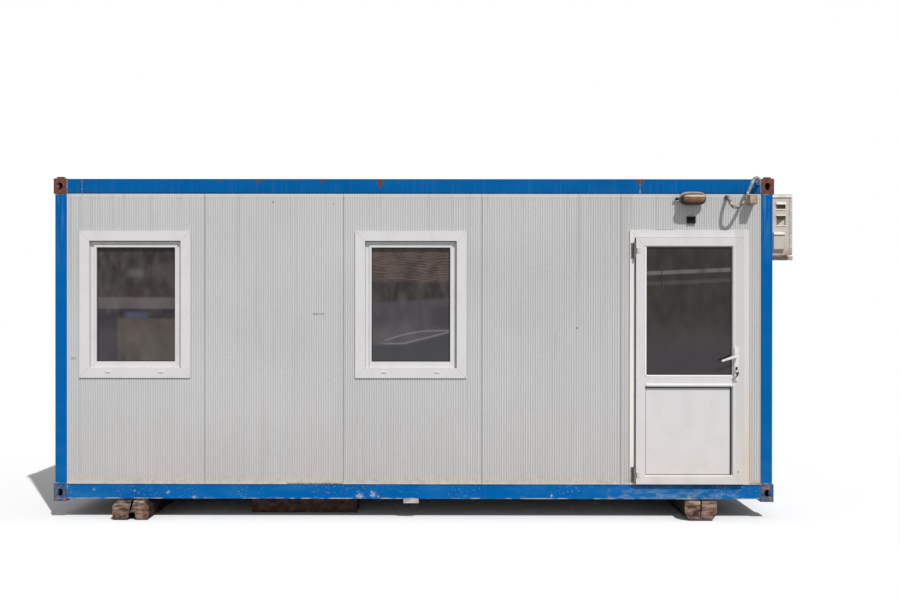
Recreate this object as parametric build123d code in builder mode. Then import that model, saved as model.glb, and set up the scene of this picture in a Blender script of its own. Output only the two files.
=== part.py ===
from build123d import *
import math
import os

# Portable site cabin. Millimetres, +X to the right along the front, +Y to the back, +Z up.
# The origin is midway between the four bottom castings, on their underside plane.

# Overall size over the corner castings
cabin_length = 5984.0
cabin_width = 2435.0
cabin_height = 2684.0
ground_drop = 140.0

# Steel frame
steel_t = 4.0
end_step = 12.0
face_step = 3.0
post_face_x = 94.0
post_face_y = 140.0
post_lip = 60.0
lower_casting_h = 146.0
upper_casting_h = 128.0
casting_wall = 12.0
aperture_w = 44.0
aperture_l = 62.0
aperture_sides = 12
lug_w = 60.0
lug_t = 20.0
lug_h = 14.0
lug_set_back = 12.0
bottom_rail_z = 22.0
bottom_rail_h = 122.0
top_rail_drop = 4.0
top_rail_h = 122.0

# Sandwich wall
panel_t = 60.0
panel_recess = 6.0
door_bay_w = 1164.0
post_cover = 4.0
panel_joint = 3.0
cover_lap = 30.0

# Floor and roof
joist_h = 80.0
joist_w = 50.0
joist_t = 3.0
joist_pitch = 600.0
underfloor_t = 1.5
deck_t = 28.0
roof_t = 2.0
roof_drop = 34.0
seam_pitch = 575.0
seam_h = 22.0
seam_w = 44.0
seam_top_w = 24.0
ceiling_t = 12.0
corner_cover_t = 2.0
board_joint = 0.5

# Windows
window_w = 926.0
window_z = 1026.0
window_head = 310.0
window_shift = (-3.0, -15.0)
frame_lap = 25.0
frame_proud = 12.0
frame_depth = 70.0
frame_face = 82.0
stop_depth = 35.0
stop_lap = 12.0
sash_gap = 8.0
sash_face = 53.0
sash_depth = 60.0
pane_t = 24.0
pane_bite = 12.0
pane_gap = 3.0
pane_set_back = 15.0
bead_slope = 11.0

# Door set
door_w = 990.0
door_head = 300.0
door_left_strip = 74.0
door_face = 69.0
threshold_h = 22.0
leaf_margin = 48.0
leaf_top_margin = 64.0
leaf_lift = 8.0
leaf_gap = 5.0
slab_t = 22.0
leaf_body_t = 50.0
leaf_side_gap = 8.0
door_glass_w = 710.0
door_glass_shift = -10.0
door_glass_top = 79.0
door_mid_rail = 96.0
door_bottom_rail = 77.0
lower_panel_h = 728.0

# Hinges
hinge_h = 130.0
hinge_end = 75.0
hinge_top_end = 108.0
knuckle_r = 9.0
pin_r = 4.0
pin_play = 0.05
knuckle_gap = 1.0
hinge_offset = 11.0
hinge_plate_t = 3.0
hinge_plate_w = 46.0
hinge_seat_w = 29.0

# Lever handle and lock
plate_w = 32.0
plate_h = 288.0
plate_t = 10.0
plate_edge = 52.0
lever_z = 1220.0
lever_below_top = 76.0
lever_drop = 19.0
lever_length = 138.0
lever_root_w = 24.0
lever_tip_w = 15.0
lever_t = 12.0
neck_r = 9.0
neck_out = 34.0
neck_play = 0.3
spindle_r = 5.0
spindle_hole_r = 11.0
lock_below = 105.0
lock_r = 8.5
lock_tail_w = 10.0
lock_tail_h = 17.0
lock_proud = 3.0

# Lamp and boxes over the door
lamp_side = 15.0
lamp_below_rail = 43.0
lamp_w = 218.0
lamp_h = 112.0
lamp_squareness = 3.0
lamp_sides = 28
lamp_base_d = 46.0
lamp_lip = 15.0
lamp_lip_t = 12.0
lamp_glass_d = 66.0
lamp_rim = 14.0
lamp_entry_r = 10.0
lamp_entry_l = 34.0
wall_box_w = 70.0
wall_box_h = 56.0
wall_box_d = 18.0
wall_box_side = 14.0
wall_box_lift = 83.0
inlet_w = 61.0
inlet_h = 74.0
inlet_d = 112.0
inlet_from_corner = 92.0
inlet_below_rail = 55.0

# Supply conduit: its route from the right-hand casting and the top of the rail, as x and z,
# and the distance out from the front panel face
conduit_d = 28.0
gland_r = 22.0
conduit_sides = 6
conduit_route = (
    (-286.0, -151.0, 14.0),
    (-286.0, -151.0, 64.0),
    (-284.0, -206.0, 102.0),
    (-264.0, -242.0, 120.0),
    (-224.0, -246.0, 125.0),
    (-188.0, -208.0, 122.0),
    (-158.0, -156.0, 115.0),
    (-126.0, -96.0, 107.0),
    (-104.0, -38.0, 97.0),
    (-79.0, 0.0, 87.0),
    (-46.0, 4.0, 74.0),
    (-26.0, -27.0, 58.0),
    (-26.0, -27.0, 20.0),
)

# Cooling unit on the right-hand end wall
unit_d = 280.0
unit_w = 780.0
unit_h = 535.0
unit_edge_r = 10.0
unit_off_wall = 62.0
unit_front_y = 500.0
unit_below_rail = 71.0
recess_in = 140.0
recess_w = 80.0
recess_d = 14.0
recesses = ((67.0, 61.0), (190.0, 79.0))
fan_r = 195.0
fan_y_share = 0.37
fan_well = 130.0
fan_blades = 3
fan_hub_r = 42.0
fan_hub_l = 60.0
fan_tip_gap = 12.0
fan_blade_t = 3.0
fan_blade_pitch = 28.0
guard_t = 5.0
guard_rings = 5
guard_bars = 8
guard_bar_w = 5.0
cover_in = 110.0
cover_w = 97.0
cover_h = 149.0
cover_t = 26.0
cover_lift = 53.0
bracket_w = 36.0
bracket_t = 4.0
bracket_arm = 370.0
bracket_drop = 300.0
bracket_brace = 140.0
bracket_inset = 90.0
foot_h = 6.0
foot_r = 16.0
pipe_r = 11.0
pipe_sides = 12
pipe_pitch = 44.0

# Supports under the cabin
sleeper_from_end = (664.0, 623.0)
sleeper_w = (301.0, 265.0)
sleeper_length = 2600.0
sleeper_top_edge = (45.0, 8.0)
sleeper_low_edge = (14.0, 42.0)
notch_from_end = 678.0
notch_w = 66.0
notch_h = 58.0
notch_d = 170.0
packer_x = -940.0
packer_length = 897.0
packer_w = 220.0
packer_back = 223.0
pad_x = -19.0
pad_length = 126.0
pad_w = 60.0
pad_drop = 36.0

# Planes and corners that the pieces share
half_l = cabin_length / 2
half_w = cabin_width / 2
casting_x = post_face_x + end_step
casting_y = post_face_y + face_step
frame_x = half_l - end_step
frame_y = half_w - face_step
inner_x = half_l - casting_x
inner_y = half_w - casting_y
wall_x = frame_x - panel_recess
wall_y = frame_y - panel_recess
flange = panel_recess + panel_t
room_x = frame_x - flange
room_y = frame_y - flange
rail_top_z = bottom_rail_z + bottom_rail_h
roof_rail_z = cabin_height - top_rail_drop - top_rail_h
roof_rail_top = roof_rail_z + top_rail_h
upper_casting_z = cabin_height - upper_casting_h
panel_pitch = (2 * inner_x + post_cover - door_bay_w) / 4
first_joint = -inner_x - post_cover + panel_pitch
joints = [first_joint + i * panel_pitch for i in range(4)]

corners = [(sx, sy) for sx in (-1, 1) for sy in (-1, 1)]


def save(block, name):
    block.part.label = name
    export_step(block.part, f"parts/{name}.step")


def slab(x0, x1, y0, y1, z0, z1, mode=Mode.ADD):
    """A box between two corners, added to the open part."""
    with Locations(((x0 + x1) / 2, (y0 + y1) / 2, (z0 + z1) / 2)):
        Box(x1 - x0, y1 - y0, z1 - z0, mode=mode)


def front_plane(y):
    """The upright plane at this y, seen from the front: sketch X is +X and sketch Y is +Z."""
    return Plane((0, y, 0), x_dir=(1, 0, 0), z_dir=(0, -1, 0))


def end_plane(x):
    """The upright plane at this x, seen from the right: sketch X is +Y and sketch Y is +Z."""
    return Plane((x, 0, 0), x_dir=(0, 1, 0), z_dir=(1, 0, 0))


os.makedirs("parts", exist_ok=True)

# Corner castings: hollow blocks with an aperture in each outer face
casting_levels = (
    (0.0, lower_casting_h, 0.0),
    (upper_casting_z, upper_casting_h, cabin_height - casting_wall),
)
aperture_rise = (aperture_l - aperture_w) / 2
with BuildPart() as corner_castings:
    for level_z, block_h, flat_z in casting_levels:
        for sx, sy in corners:
            mid_x = sx * (half_l - casting_x / 2)
            mid_y = sy * (half_w - casting_y / 2)
            mid_z = level_z + block_h / 2
            hollow_x = casting_x - 2 * casting_wall
            hollow_y = casting_y - 2 * casting_wall
            hollow_z = block_h - 2 * casting_wall
            with Locations((mid_x, mid_y, mid_z)):
                Box(casting_x, casting_y, block_h)
                Box(hollow_x, hollow_y, hollow_z, mode=Mode.SUBTRACT)
            for plane, across in (
                (front_plane(sy * (half_w - casting_wall / 2)), mid_x),
                (end_plane(sx * (half_l - casting_wall / 2)), mid_y),
            ):
                with BuildSketch(plane):
                    with Locations((across, mid_z - aperture_rise), (across, mid_z + aperture_rise)):
                        RegularPolygon(aperture_w / 2, aperture_sides)
                    make_hull()
                extrude(amount=casting_wall, both=True, mode=Mode.SUBTRACT)
            with BuildSketch(Plane.XY.offset(flat_z + casting_wall / 2)):
                with Locations((mid_x, mid_y)):
                    SlotOverall(aperture_l, aperture_w)
            extrude(amount=casting_wall, both=True, mode=Mode.SUBTRACT)
save(corner_castings, "corner_castings")

# Stop lugs welded on the outer rims of the upper castings
with BuildPart() as stop_lugs:
    for sx, sy in corners:
        lug_x = sx * (half_l - casting_x / 2)
        lug_y = sy * (half_w - lug_set_back - lug_t / 2)
        with Locations((lug_x, lug_y, cabin_height + lug_h / 2)):
            Box(lug_w, lug_t, lug_h)
save(stop_lugs, "stop_lugs")

# Corner posts: folded sheet between the castings, with a lip beside each wall
with BuildPart() as corner_posts:
    for sx, sy in corners:
        with BuildSketch(Plane.XY.offset(lower_casting_h)):
            for x0, x1, y0, y1 in (
                (inner_x, frame_x, frame_y - steel_t, frame_y),
                (frame_x - steel_t, frame_x, inner_y, frame_y),
                (inner_x, inner_x + steel_t, frame_y - post_lip, frame_y),
                (frame_x - post_lip, frame_x, inner_y, inner_y + steel_t),
            ):
                with Locations((sx * (x0 + x1) / 2, sy * (y0 + y1) / 2)):
                    Rectangle(x1 - x0, y1 - y0)
        extrude(amount=upper_casting_z - lower_casting_h)
save(corner_posts, "corner_posts")


def channel_strips(outer, low_z, height):
    """The web and both flanges of a folded channel, as strips across its section."""
    return (
        (outer - steel_t, outer, low_z, low_z + height),
        (outer - flange, outer, low_z, low_z + steel_t),
        (outer - flange, outer, low_z + height - steel_t, low_z + height),
    )


# Rails along the front and back, between the castings
for name, low_z, height in (
    ("long_bottom_rails", bottom_rail_z, bottom_rail_h),
    ("long_top_rails", roof_rail_z, top_rail_h),
):
    with BuildPart() as long_rails:
        with BuildSketch(end_plane(-inner_x)):
            for side in (-1, 1):
                for y0, y1, z0, z1 in channel_strips(frame_y, low_z, height):
                    with Locations((side * (y0 + y1) / 2, (z0 + z1) / 2)):
                        Rectangle(y1 - y0, z1 - z0)
        extrude(amount=2 * inner_x)
    save(long_rails, name)

# Rails across the two ends, between the castings
for name, low_z, height in (
    ("end_bottom_rails", bottom_rail_z, bottom_rail_h),
    ("end_top_rails", roof_rail_z, top_rail_h),
):
    with BuildPart() as end_rails:
        with BuildSketch(front_plane(inner_y)):
            for side in (-1, 1):
                for x0, x1, z0, z1 in channel_strips(frame_x, low_z, height):
                    with Locations((side * (x0 + x1) / 2, (z0 + z1) / 2)):
                        Rectangle(x1 - x0, z1 - z0)
        extrude(amount=2 * inner_y)
    save(end_rails, name)

# Floor: channel joists on the lower flanges, a sheet on them and a boarded deck
joist_z = bottom_rail_z + steel_t
joist_run = frame_y - steel_t
joist_side = math.floor((room_x - joist_w) / joist_pitch)
with BuildPart() as floor_joists:
    for i in range(-joist_side, joist_side + 1):
        x = i * joist_pitch
        with BuildSketch(front_plane(joist_run)):
            for x0, x1, z0, z1 in (
                (x, x + joist_t, 0, joist_h),
                (x, x + joist_w, 0, joist_t),
                (x, x + joist_w, joist_h - joist_t, joist_h),
            ):
                with Locations(((x0 + x1) / 2, joist_z + (z0 + z1) / 2)):
                    Rectangle(x1 - x0, z1 - z0)
        extrude(amount=2 * joist_run)
save(floor_joists, "floor_joists")


def board(z, thickness, reach_x, reach_y):
    """A flat board in three pieces: one over the middle and one between the castings at each end."""
    slab(-inner_x, inner_x, -reach_y, reach_y, z, z + thickness)
    for x0, x1 in ((-reach_x, -inner_x - board_joint), (inner_x + board_joint, reach_x)):
        slab(x0, x1, -inner_y, inner_y, z, z + thickness)


sheet_z = joist_z + joist_h
deck_z = sheet_z + underfloor_t
with BuildPart() as underfloor_sheet:
    board(sheet_z, underfloor_t, room_x, room_y)
save(underfloor_sheet, "underfloor_sheet")

with BuildPart() as floor_deck:
    board(deck_z, deck_t, room_x, room_y)
save(floor_deck, "floor_deck")

# Ceiling boards on the lower flanges of the top rails
ceiling_z = roof_rail_z + steel_t
with BuildPart() as ceiling:
    board(ceiling_z, ceiling_t, frame_x - steel_t, frame_y - steel_t)
save(ceiling, "ceiling")

# Roof sheet: trapezoidal ribs across the cabin, sunk inside the ring of top rails
roof_z = roof_rail_top - roof_drop
rib_side = math.floor((inner_x - seam_w) / seam_pitch)
with BuildPart() as roof_sheet:
    board(roof_z, roof_t, frame_x - steel_t, frame_y - steel_t)
    for i in range(-rib_side, rib_side + 1):
        x = i * seam_pitch
        with BuildSketch(front_plane(frame_y - steel_t)):
            with BuildLine():
                Polyline(
                    (x - seam_w / 2, roof_z + roof_t),
                    (x - seam_top_w / 2, roof_z + roof_t + seam_h),
                    (x + seam_top_w / 2, roof_z + roof_t + seam_h),
                    (x + seam_w / 2, roof_z + roof_t),
                    close=True,
                )
            make_face()
        extrude(amount=2 * (frame_y - steel_t))
save(roof_sheet, "roof_sheet")

# Front wall panels, with the windows cut through two of them
bay_edges = [-inner_x] + joints + [inner_x]
bays = [
    (x0 + (0.0 if x0 == -inner_x else panel_joint / 2), x1 - (0.0 if x1 == inner_x else panel_joint / 2))
    for x0, x1 in zip(bay_edges[:-1], bay_edges[1:])
]
window_centres = [
    joints[0] - panel_pitch / 2 + window_shift[0],
    joints[2] - panel_pitch / 2 + window_shift[1],
]
window_h = roof_rail_z - window_head - window_z
window_mid_z = window_z + window_h / 2
with BuildPart() as window_panels:
    for bay, centre in zip((0, 2), window_centres):
        slab(*bays[bay], -wall_y, -room_y, rail_top_z, roof_rail_z)
        with Locations((centre, -wall_y + panel_t / 2, window_mid_z)):
            Box(window_w - 2 * frame_lap, panel_t, window_h - 2 * frame_lap, mode=Mode.SUBTRACT)
save(window_panels, "window_panels")

with BuildPart() as plain_front_panels:
    for bay in (1, 3):
        slab(*bays[bay], -wall_y, -room_y, rail_top_z, roof_rail_z)
save(plain_front_panels, "plain_front_panels")

# Panels beside and over the doorway
door_x0 = joints[3] + door_left_strip
door_x1 = door_x0 + door_w
door_top_z = roof_rail_z - door_head
opening_x0 = door_x0 + frame_lap
opening_x1 = door_x1 - frame_lap
opening_z1 = door_top_z - frame_lap
with BuildPart() as door_bay_panels:
    slab(bays[4][0], opening_x0, -wall_y, -room_y, rail_top_z, roof_rail_z)
    slab(opening_x1, inner_x, -wall_y, -room_y, rail_top_z, roof_rail_z)
    head_x0 = opening_x0 + panel_joint
    head_x1 = opening_x1 - panel_joint
    slab(head_x0, head_x1, -wall_y, -room_y, opening_z1, roof_rail_z)
save(door_bay_panels, "door_bay_panels")

with BuildPart() as back_panels:
    for x0, x1 in bays:
        slab(x0, x1, room_y, wall_y, rail_top_z, roof_rail_z)
save(back_panels, "back_panels")

end_bays = ((-inner_y, -panel_joint / 2), (panel_joint / 2, inner_y))
for name, x0, x1 in (
    ("left_end_panels", -wall_x, -room_x),
    ("right_end_panels", room_x, wall_x),
):
    with BuildPart() as end_panels:
        for y0, y1 in end_bays:
            slab(x0, x1, y0, y1, rail_top_z, roof_rail_z)
    save(end_panels, name)

# Folded covers that close the posts from inside the room
post_mid_z = (lower_casting_h + upper_casting_z) / 2
with BuildPart() as corner_covers:
    for sx, sy in corners:
        for x0, x1, y0, y1 in (
            (inner_x - cover_lap, room_x, room_y - corner_cover_t, room_y),
            (room_x - corner_cover_t, room_x, inner_y - cover_lap, room_y),
        ):
            with Locations((sx * (x0 + x1) / 2, sy * (y0 + y1) / 2, post_mid_z)):
                Box(x1 - x0, y1 - y0, upper_casting_z - lower_casting_h)
save(corner_covers, "corner_covers")

# Window frames: a lapping front flange, a stop and a rebate for the sash behind it
frame_front = -wall_y - frame_proud
stop_y = frame_front + stop_depth
frame_back = frame_front + frame_depth
light_w = window_w - 2 * frame_face
light_h = window_h - 2 * frame_face
sash_w = light_w + 2 * stop_lap
sash_h = light_h + 2 * stop_lap
glass_w = light_w - 2 * sash_face
glass_h = light_h - 2 * sash_face


def layer(centre_x, centre_z, width, height, y0, y1, mode=Mode.ADD):
    """A block of this face size between two depths in the front wall."""
    with Locations((centre_x, (y0 + y1) / 2, centre_z)):
        Box(width, y1 - y0, height, mode=mode)


with BuildPart() as window_frames:
    for centre in window_centres:
        layer(centre, window_mid_z, window_w, window_h, frame_front, -wall_y)
        layer(
            centre,
            window_mid_z,
            window_w - 2 * frame_lap,
            window_h - 2 * frame_lap,
            -wall_y,
            frame_back,
        )
        layer(centre, window_mid_z, light_w, light_h, frame_front, stop_y, Mode.SUBTRACT)
        layer(
            centre,
            window_mid_z,
            sash_w + 2 * sash_gap,
            sash_h + 2 * sash_gap,
            stop_y,
            frame_back,
            Mode.SUBTRACT,
        )
save(window_frames, "window_frames")

# Window sashes, closed against the stop, with a groove for the pane
pane_y = stop_y + pane_set_back
pane_w = glass_w + 2 * pane_bite
pane_h = glass_h + 2 * pane_bite
with BuildPart() as window_sashes:
    for centre in window_centres:
        layer(centre, window_mid_z, sash_w, sash_h, stop_y, stop_y + sash_depth)
        layer(
            centre, window_mid_z, glass_w, glass_h, stop_y, stop_y + sash_depth, Mode.SUBTRACT
        )
        layer(
            centre,
            window_mid_z,
            pane_w + 2 * pane_gap,
            pane_h + 2 * pane_gap,
            pane_y,
            pane_y + pane_t,
            Mode.SUBTRACT,
        )
        for y, grow in ((stop_y, bead_slope), (pane_y, 0.0)):
            with BuildSketch(front_plane(y)):
                with Locations((centre, window_mid_z)):
                    Rectangle(glass_w + 2 * grow, glass_h + 2 * grow)
        loft(mode=Mode.SUBTRACT)
save(window_sashes, "window_sashes")

with BuildPart() as window_glass:
    for centre in window_centres:
        layer(centre, window_mid_z, pane_w, pane_h, pane_y, pane_y + pane_t)
save(window_glass, "window_glass")

# Door frame on three sides, standing on the bottom rail
door_mid_x = (door_x0 + door_x1) / 2
door_light_w = door_w - 2 * door_face
door_light_top = door_top_z - door_face - leaf_top_margin + leaf_margin
with BuildPart() as door_frame:
    slab(door_x0, door_x1, frame_front, -wall_y, rail_top_z, door_top_z)
    slab(opening_x0, opening_x1, -wall_y, frame_back, rail_top_z, opening_z1)
    slab(
        door_mid_x - door_light_w / 2,
        door_mid_x + door_light_w / 2,
        frame_front,
        frame_back,
        rail_top_z,
        door_light_top,
        Mode.SUBTRACT,
    )
save(door_frame, "door_frame")

# Threshold between the jambs, with a sloped tread outside
sill_x0 = door_mid_x - door_light_w / 2
sill_x1 = door_mid_x + door_light_w / 2
leaf_z0 = rail_top_z + leaf_lift
leaf_back = frame_front - leaf_gap
with BuildPart() as door_threshold:
    with BuildSketch(end_plane(sill_x0)):
        with BuildLine():
            Polyline(
                (-frame_y, rail_top_z),
                (-frame_y, rail_top_z + leaf_gap),
                (frame_back - frame_proud, rail_top_z + threshold_h - leaf_gap),
                (frame_back, rail_top_z + threshold_h - leaf_gap),
                (frame_back, rail_top_z),
                close=True,
            )
        make_face()
    extrude(amount=sill_x1 - sill_x0)
save(door_threshold, "door_threshold")

# Door leaf: an outer slab that laps the frame and a body that fills the opening
leaf_x0 = door_x0 + leaf_margin
leaf_x1 = door_x1 - leaf_margin
leaf_z1 = door_top_z - leaf_top_margin
leaf_front = leaf_back - slab_t
body_back = leaf_back + leaf_body_t
body_x0 = sill_x0 + leaf_side_gap
body_x1 = sill_x1 - leaf_side_gap
body_z0 = rail_top_z + threshold_h + leaf_gap
body_z1 = door_light_top - leaf_side_gap
light_mid_x = (leaf_x0 + leaf_x1) / 2 + door_glass_shift
lower_z0 = leaf_z0 + door_bottom_rail
lower_z1 = lower_z0 + lower_panel_h
door_glass_z0 = lower_z1 + door_mid_rail
door_glass_z1 = leaf_z1 - door_glass_top
door_pane_y = leaf_front + pane_set_back
plate_x = leaf_x1 - plate_edge - plate_w / 2
plate_mid_z = lever_z + lever_below_top - plate_h / 2
lock_z = lever_z - lock_below
lights = (
    (door_glass_z0, door_glass_z1),
    (lower_z0, lower_z1),
)


def light_box(z0, z1, grow, y0, y1, mode=Mode.ADD):
    """A block over one of the two openings in the leaf, grown on every side."""
    layer(
        light_mid_x,
        (z0 + z1) / 2,
        door_glass_w + 2 * grow,
        z1 - z0 + 2 * grow,
        y0,
        y1,
        mode,
    )


with BuildPart() as door_leaf:
    slab(leaf_x0, leaf_x1, leaf_front, leaf_back, leaf_z0, leaf_z1)
    slab(body_x0, body_x1, leaf_back, body_back, body_z0, body_z1)
    for z0, z1 in lights:
        light_box(z0, z1, 0.0, leaf_front, body_back, Mode.SUBTRACT)
        light_box(
            z0, z1, pane_bite + pane_gap, door_pane_y, door_pane_y + pane_t, Mode.SUBTRACT
        )
        for y, grow in ((leaf_front, bead_slope), (door_pane_y, 0.0)):
            with BuildSketch(front_plane(y)):
                with Locations((light_mid_x, (z0 + z1) / 2)):
                    Rectangle(door_glass_w + 2 * grow, z1 - z0 + 2 * grow)
        loft(mode=Mode.SUBTRACT)
    with BuildSketch(front_plane(body_back)):
        with Locations((plate_x, lever_z)):
            Circle(spindle_hole_r)
        with Locations((plate_x, lock_z)):
            Circle(lock_r)
        with Locations((plate_x, lock_z - lock_tail_h / 2)):
            Rectangle(lock_tail_w, lock_tail_h)
    extrude(amount=body_back - leaf_front, mode=Mode.SUBTRACT)
save(door_leaf, "door_leaf")

with BuildPart() as door_glass:
    light_box(door_glass_z0, door_glass_z1, pane_bite, door_pane_y, door_pane_y + pane_t)
save(door_glass, "door_glass")

with BuildPart() as door_lower_panel:
    light_box(lower_z0, lower_z1, pane_bite, door_pane_y, door_pane_y + pane_t)
save(door_lower_panel, "door_lower_panel")

# Hinges: outer knuckles and pin on the frame, middle knuckle on the leaf
hinge_x = leaf_x0 - hinge_offset
hinge_y = leaf_front - hinge_plate_t + knuckle_r
knuckle_h = hinge_h / 3
hinge_low_z = leaf_z0 + hinge_end
hinge_high_z = leaf_z1 - hinge_top_end
with BuildPart() as hinge_frame_halves:
    for mid_z in (hinge_low_z, hinge_high_z):
        low_z = mid_z - hinge_h / 2
        slab(
            hinge_x - hinge_seat_w,
            hinge_x + knuckle_r,
            frame_front - hinge_plate_t,
            frame_front,
            low_z,
            low_z + hinge_h,
        )
        with Locations((hinge_x, hinge_y, mid_z)):
            Cylinder(pin_r, hinge_h)
        for z0 in (low_z, low_z + 2 * knuckle_h):
            with Locations((hinge_x, hinge_y, z0 + knuckle_h / 2)):
                Cylinder(knuckle_r, knuckle_h)
            slab(
                hinge_x - knuckle_r,
                hinge_x,
                hinge_y,
                frame_front,
                z0,
                z0 + knuckle_h,
            )
save(hinge_frame_halves, "hinge_frame_halves")

with BuildPart() as hinge_door_halves:
    for mid_z in (hinge_low_z, hinge_high_z):
        z0 = mid_z - knuckle_h / 2 + knuckle_gap
        z1 = mid_z + knuckle_h / 2 - knuckle_gap
        with Locations((hinge_x, hinge_y, mid_z)):
            Cylinder(knuckle_r, z1 - z0)
        slab(
            hinge_x,
            hinge_x + hinge_plate_w,
            leaf_front - hinge_plate_t,
            leaf_front,
            z0,
            z1,
        )
        with Locations((hinge_x, hinge_y, mid_z)):
            Cylinder(pin_r + pin_play, z1 - z0, mode=Mode.SUBTRACT)
save(hinge_door_halves, "hinge_door_halves")

# Handle plates on both faces of the leaf, bored for the lever's neck and the lock
with BuildPart() as handle_plates:
    for y0, y1 in (
        (leaf_front - plate_t, leaf_front),
        (body_back, body_back + plate_t),
    ):
        with BuildSketch(front_plane(y1)):
            with Locations((plate_x, plate_mid_z)):
                RectangleRounded(plate_w, plate_h, plate_w * 0.4)
            with Locations((plate_x, lever_z)):
                Circle(neck_r + neck_play, mode=Mode.SUBTRACT)
            with Locations((plate_x, lock_z)):
                Circle(lock_r, mode=Mode.SUBTRACT)
            with Locations((plate_x, lock_z - lock_tail_h / 2)):
                Rectangle(lock_tail_w, lock_tail_h, mode=Mode.SUBTRACT)
        extrude(amount=y1 - y0)
save(handle_plates, "handle_plates")

with BuildPart() as lock_cylinder:
    lock_back = body_back + plate_t + lock_proud
    lock_front = leaf_front - plate_t - lock_proud
    with BuildSketch(front_plane(lock_back)):
        with Locations((plate_x, lock_z)):
            Circle(lock_r)
        with Locations((plate_x, lock_z - lock_tail_h / 2)):
            Rectangle(lock_tail_w, lock_tail_h)
    extrude(amount=lock_back - lock_front)
save(lock_cylinder, "lock_cylinder")

# Lever handle: both levers on one spindle, hanging a little below level
outer_lever_y = leaf_front - plate_t - neck_out
inner_lever_y = body_back + plate_t + neck_out
with BuildPart() as door_handle:
    with BuildSketch(front_plane(body_back + plate_t)):
        with Locations((plate_x, lever_z)):
            Circle(spindle_r)
    extrude(amount=body_back + plate_t - leaf_front + plate_t)
    for root_y, tip_y in (
        (leaf_front, outer_lever_y),
        (body_back, inner_lever_y),
    ):
        with BuildSketch(front_plane(root_y)):
            with Locations((plate_x, lever_z)):
                Circle(neck_r)
        extrude(amount=root_y - tip_y)
        with BuildSketch(front_plane(tip_y)):
            with BuildLine():
                tilt = math.radians(180 + lever_drop)
                along = Vector(math.cos(tilt), math.sin(tilt))
                across = Vector(-along.Y, along.X)
                root = Vector(plate_x, lever_z)
                tip = root + along * (lever_length - lever_tip_w / 2)
                Polyline(
                    root + across * lever_root_w / 2,
                    tip + across * lever_tip_w / 2,
                    tip - across * lever_tip_w / 2,
                    root - across * lever_root_w / 2,
                    close=True,
                )
            make_face()
            with Locations(root):
                Circle(lever_root_w / 2)
            with Locations(tip):
                Circle(lever_tip_w / 2)
        extrude(amount=lever_t / 2, both=True)
save(door_handle, "door_handle")

# Oval bulkhead lamp on the panel over the door
lamp_x = door_mid_x + lamp_side
lamp_z = roof_rail_z - lamp_below_rail


def squared(share):
    """A sine or cosine pushed outwards, which makes the oval squarer."""
    return math.copysign(abs(share) ** (2 / lamp_squareness), share)


def oval(inset):
    """The corners of the lamp's faceted oval outline, this far inside its edge."""
    turns = [math.tau * (i + 0.5) / lamp_sides for i in range(lamp_sides)]
    return [
        (
            lamp_x + (lamp_w / 2 - inset) * squared(math.cos(turn)),
            lamp_z + (lamp_h / 2 - inset) * squared(math.sin(turn)),
        )
        for turn in turns
    ]


with BuildPart() as lamp_body:
    for depth, inset, amount in (
        (0.0, lamp_lip, lamp_base_d),
        (lamp_base_d, 0.0, lamp_lip_t),
    ):
        with BuildSketch(front_plane(-wall_y - depth)):
            with BuildLine():
                Polyline(*oval(inset), close=True)
            make_face()
        extrude(amount=amount)
    with BuildSketch(end_plane(lamp_x - lamp_w / 2 - lamp_entry_l)):
        with Locations((-wall_y - lamp_base_d / 2, lamp_z)):
            RegularPolygon(lamp_entry_r, 6)
    extrude(amount=lamp_entry_l + 3 * lamp_lip)
save(lamp_body, "lamp_body")

with BuildPart() as lamp_glass:
    with BuildSketch(front_plane(-wall_y - lamp_base_d - lamp_lip_t)):
        with BuildLine():
            Polyline(*oval(lamp_rim), close=True)
        make_face()
    extrude(amount=lamp_glass_d)
    chamfer(lamp_glass.faces().sort_by(Axis.Y)[0].edges(), 2 * lamp_rim, lamp_rim)
save(lamp_glass, "lamp_glass")

wall_box_x = door_mid_x + wall_box_side
wall_box_z = door_top_z + wall_box_lift
inlet_x = inner_x - inlet_from_corner
inlet_z = roof_rail_z - inlet_below_rail
with BuildPart() as wall_box:
    layer(wall_box_x, wall_box_z, wall_box_w, wall_box_h, -wall_y - wall_box_d, -wall_y)
save(wall_box, "wall_box")

with BuildPart() as inlet_box:
    layer(inlet_x, inlet_z, inlet_w, inlet_h, -wall_y - inlet_d, -wall_y)
save(inlet_box, "inlet_box")

# Supply conduit, from its gland in the wall round a hanging loop and over the top rail
route = [
    Vector(inner_x + x, -wall_y - out, roof_rail_top + z) for x, z, out in conduit_route
]
radii = []
for before, here, after in zip(route[:-2], route[1:-1], route[2:]):
    turn = (here - before).get_angle(after - here)
    shorter = min((here - before).length, (after - here).length)
    radii.append(0.45 * shorter / math.tan(math.radians(turn) / 2))
print("conduit radii", [round(r) for r in radii])
# The tube is drawn with flat sides and the same area as its round section
conduit_angle = math.tau / conduit_sides
conduit_reach = conduit_d / 2 * math.sqrt(conduit_angle / math.sin(conduit_angle))
with BuildPart() as supply_conduit:
    with BuildLine() as conduit_line:
        FilletPolyline(*route, radius=radii)
    with BuildSketch(Plane(route[0], z_dir=route[1] - route[0])):
        RegularPolygon(conduit_reach, conduit_sides)
    sweep()
conduit_length = sum(edge.length for edge in conduit_line.edges())
conduit_share = supply_conduit.part.volume / (math.pi * conduit_d**2 / 4 * conduit_length)
print("conduit length", round(conduit_length), "volume share", round(conduit_share, 4))
save(supply_conduit, "supply_conduit")

# Cable glands at both ends of the conduit, one on the wall and one on the top rail
with BuildPart() as conduit_glands:
    for end, seat_y in ((route[0], -wall_y), (route[-1], -frame_y)):
        with BuildSketch(front_plane(seat_y)):
            with Locations((end.X, end.Z)):
                RegularPolygon(gland_r, 6)
        extrude(amount=seat_y - end.Y)
save(conduit_glands, "conduit_glands")

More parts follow.
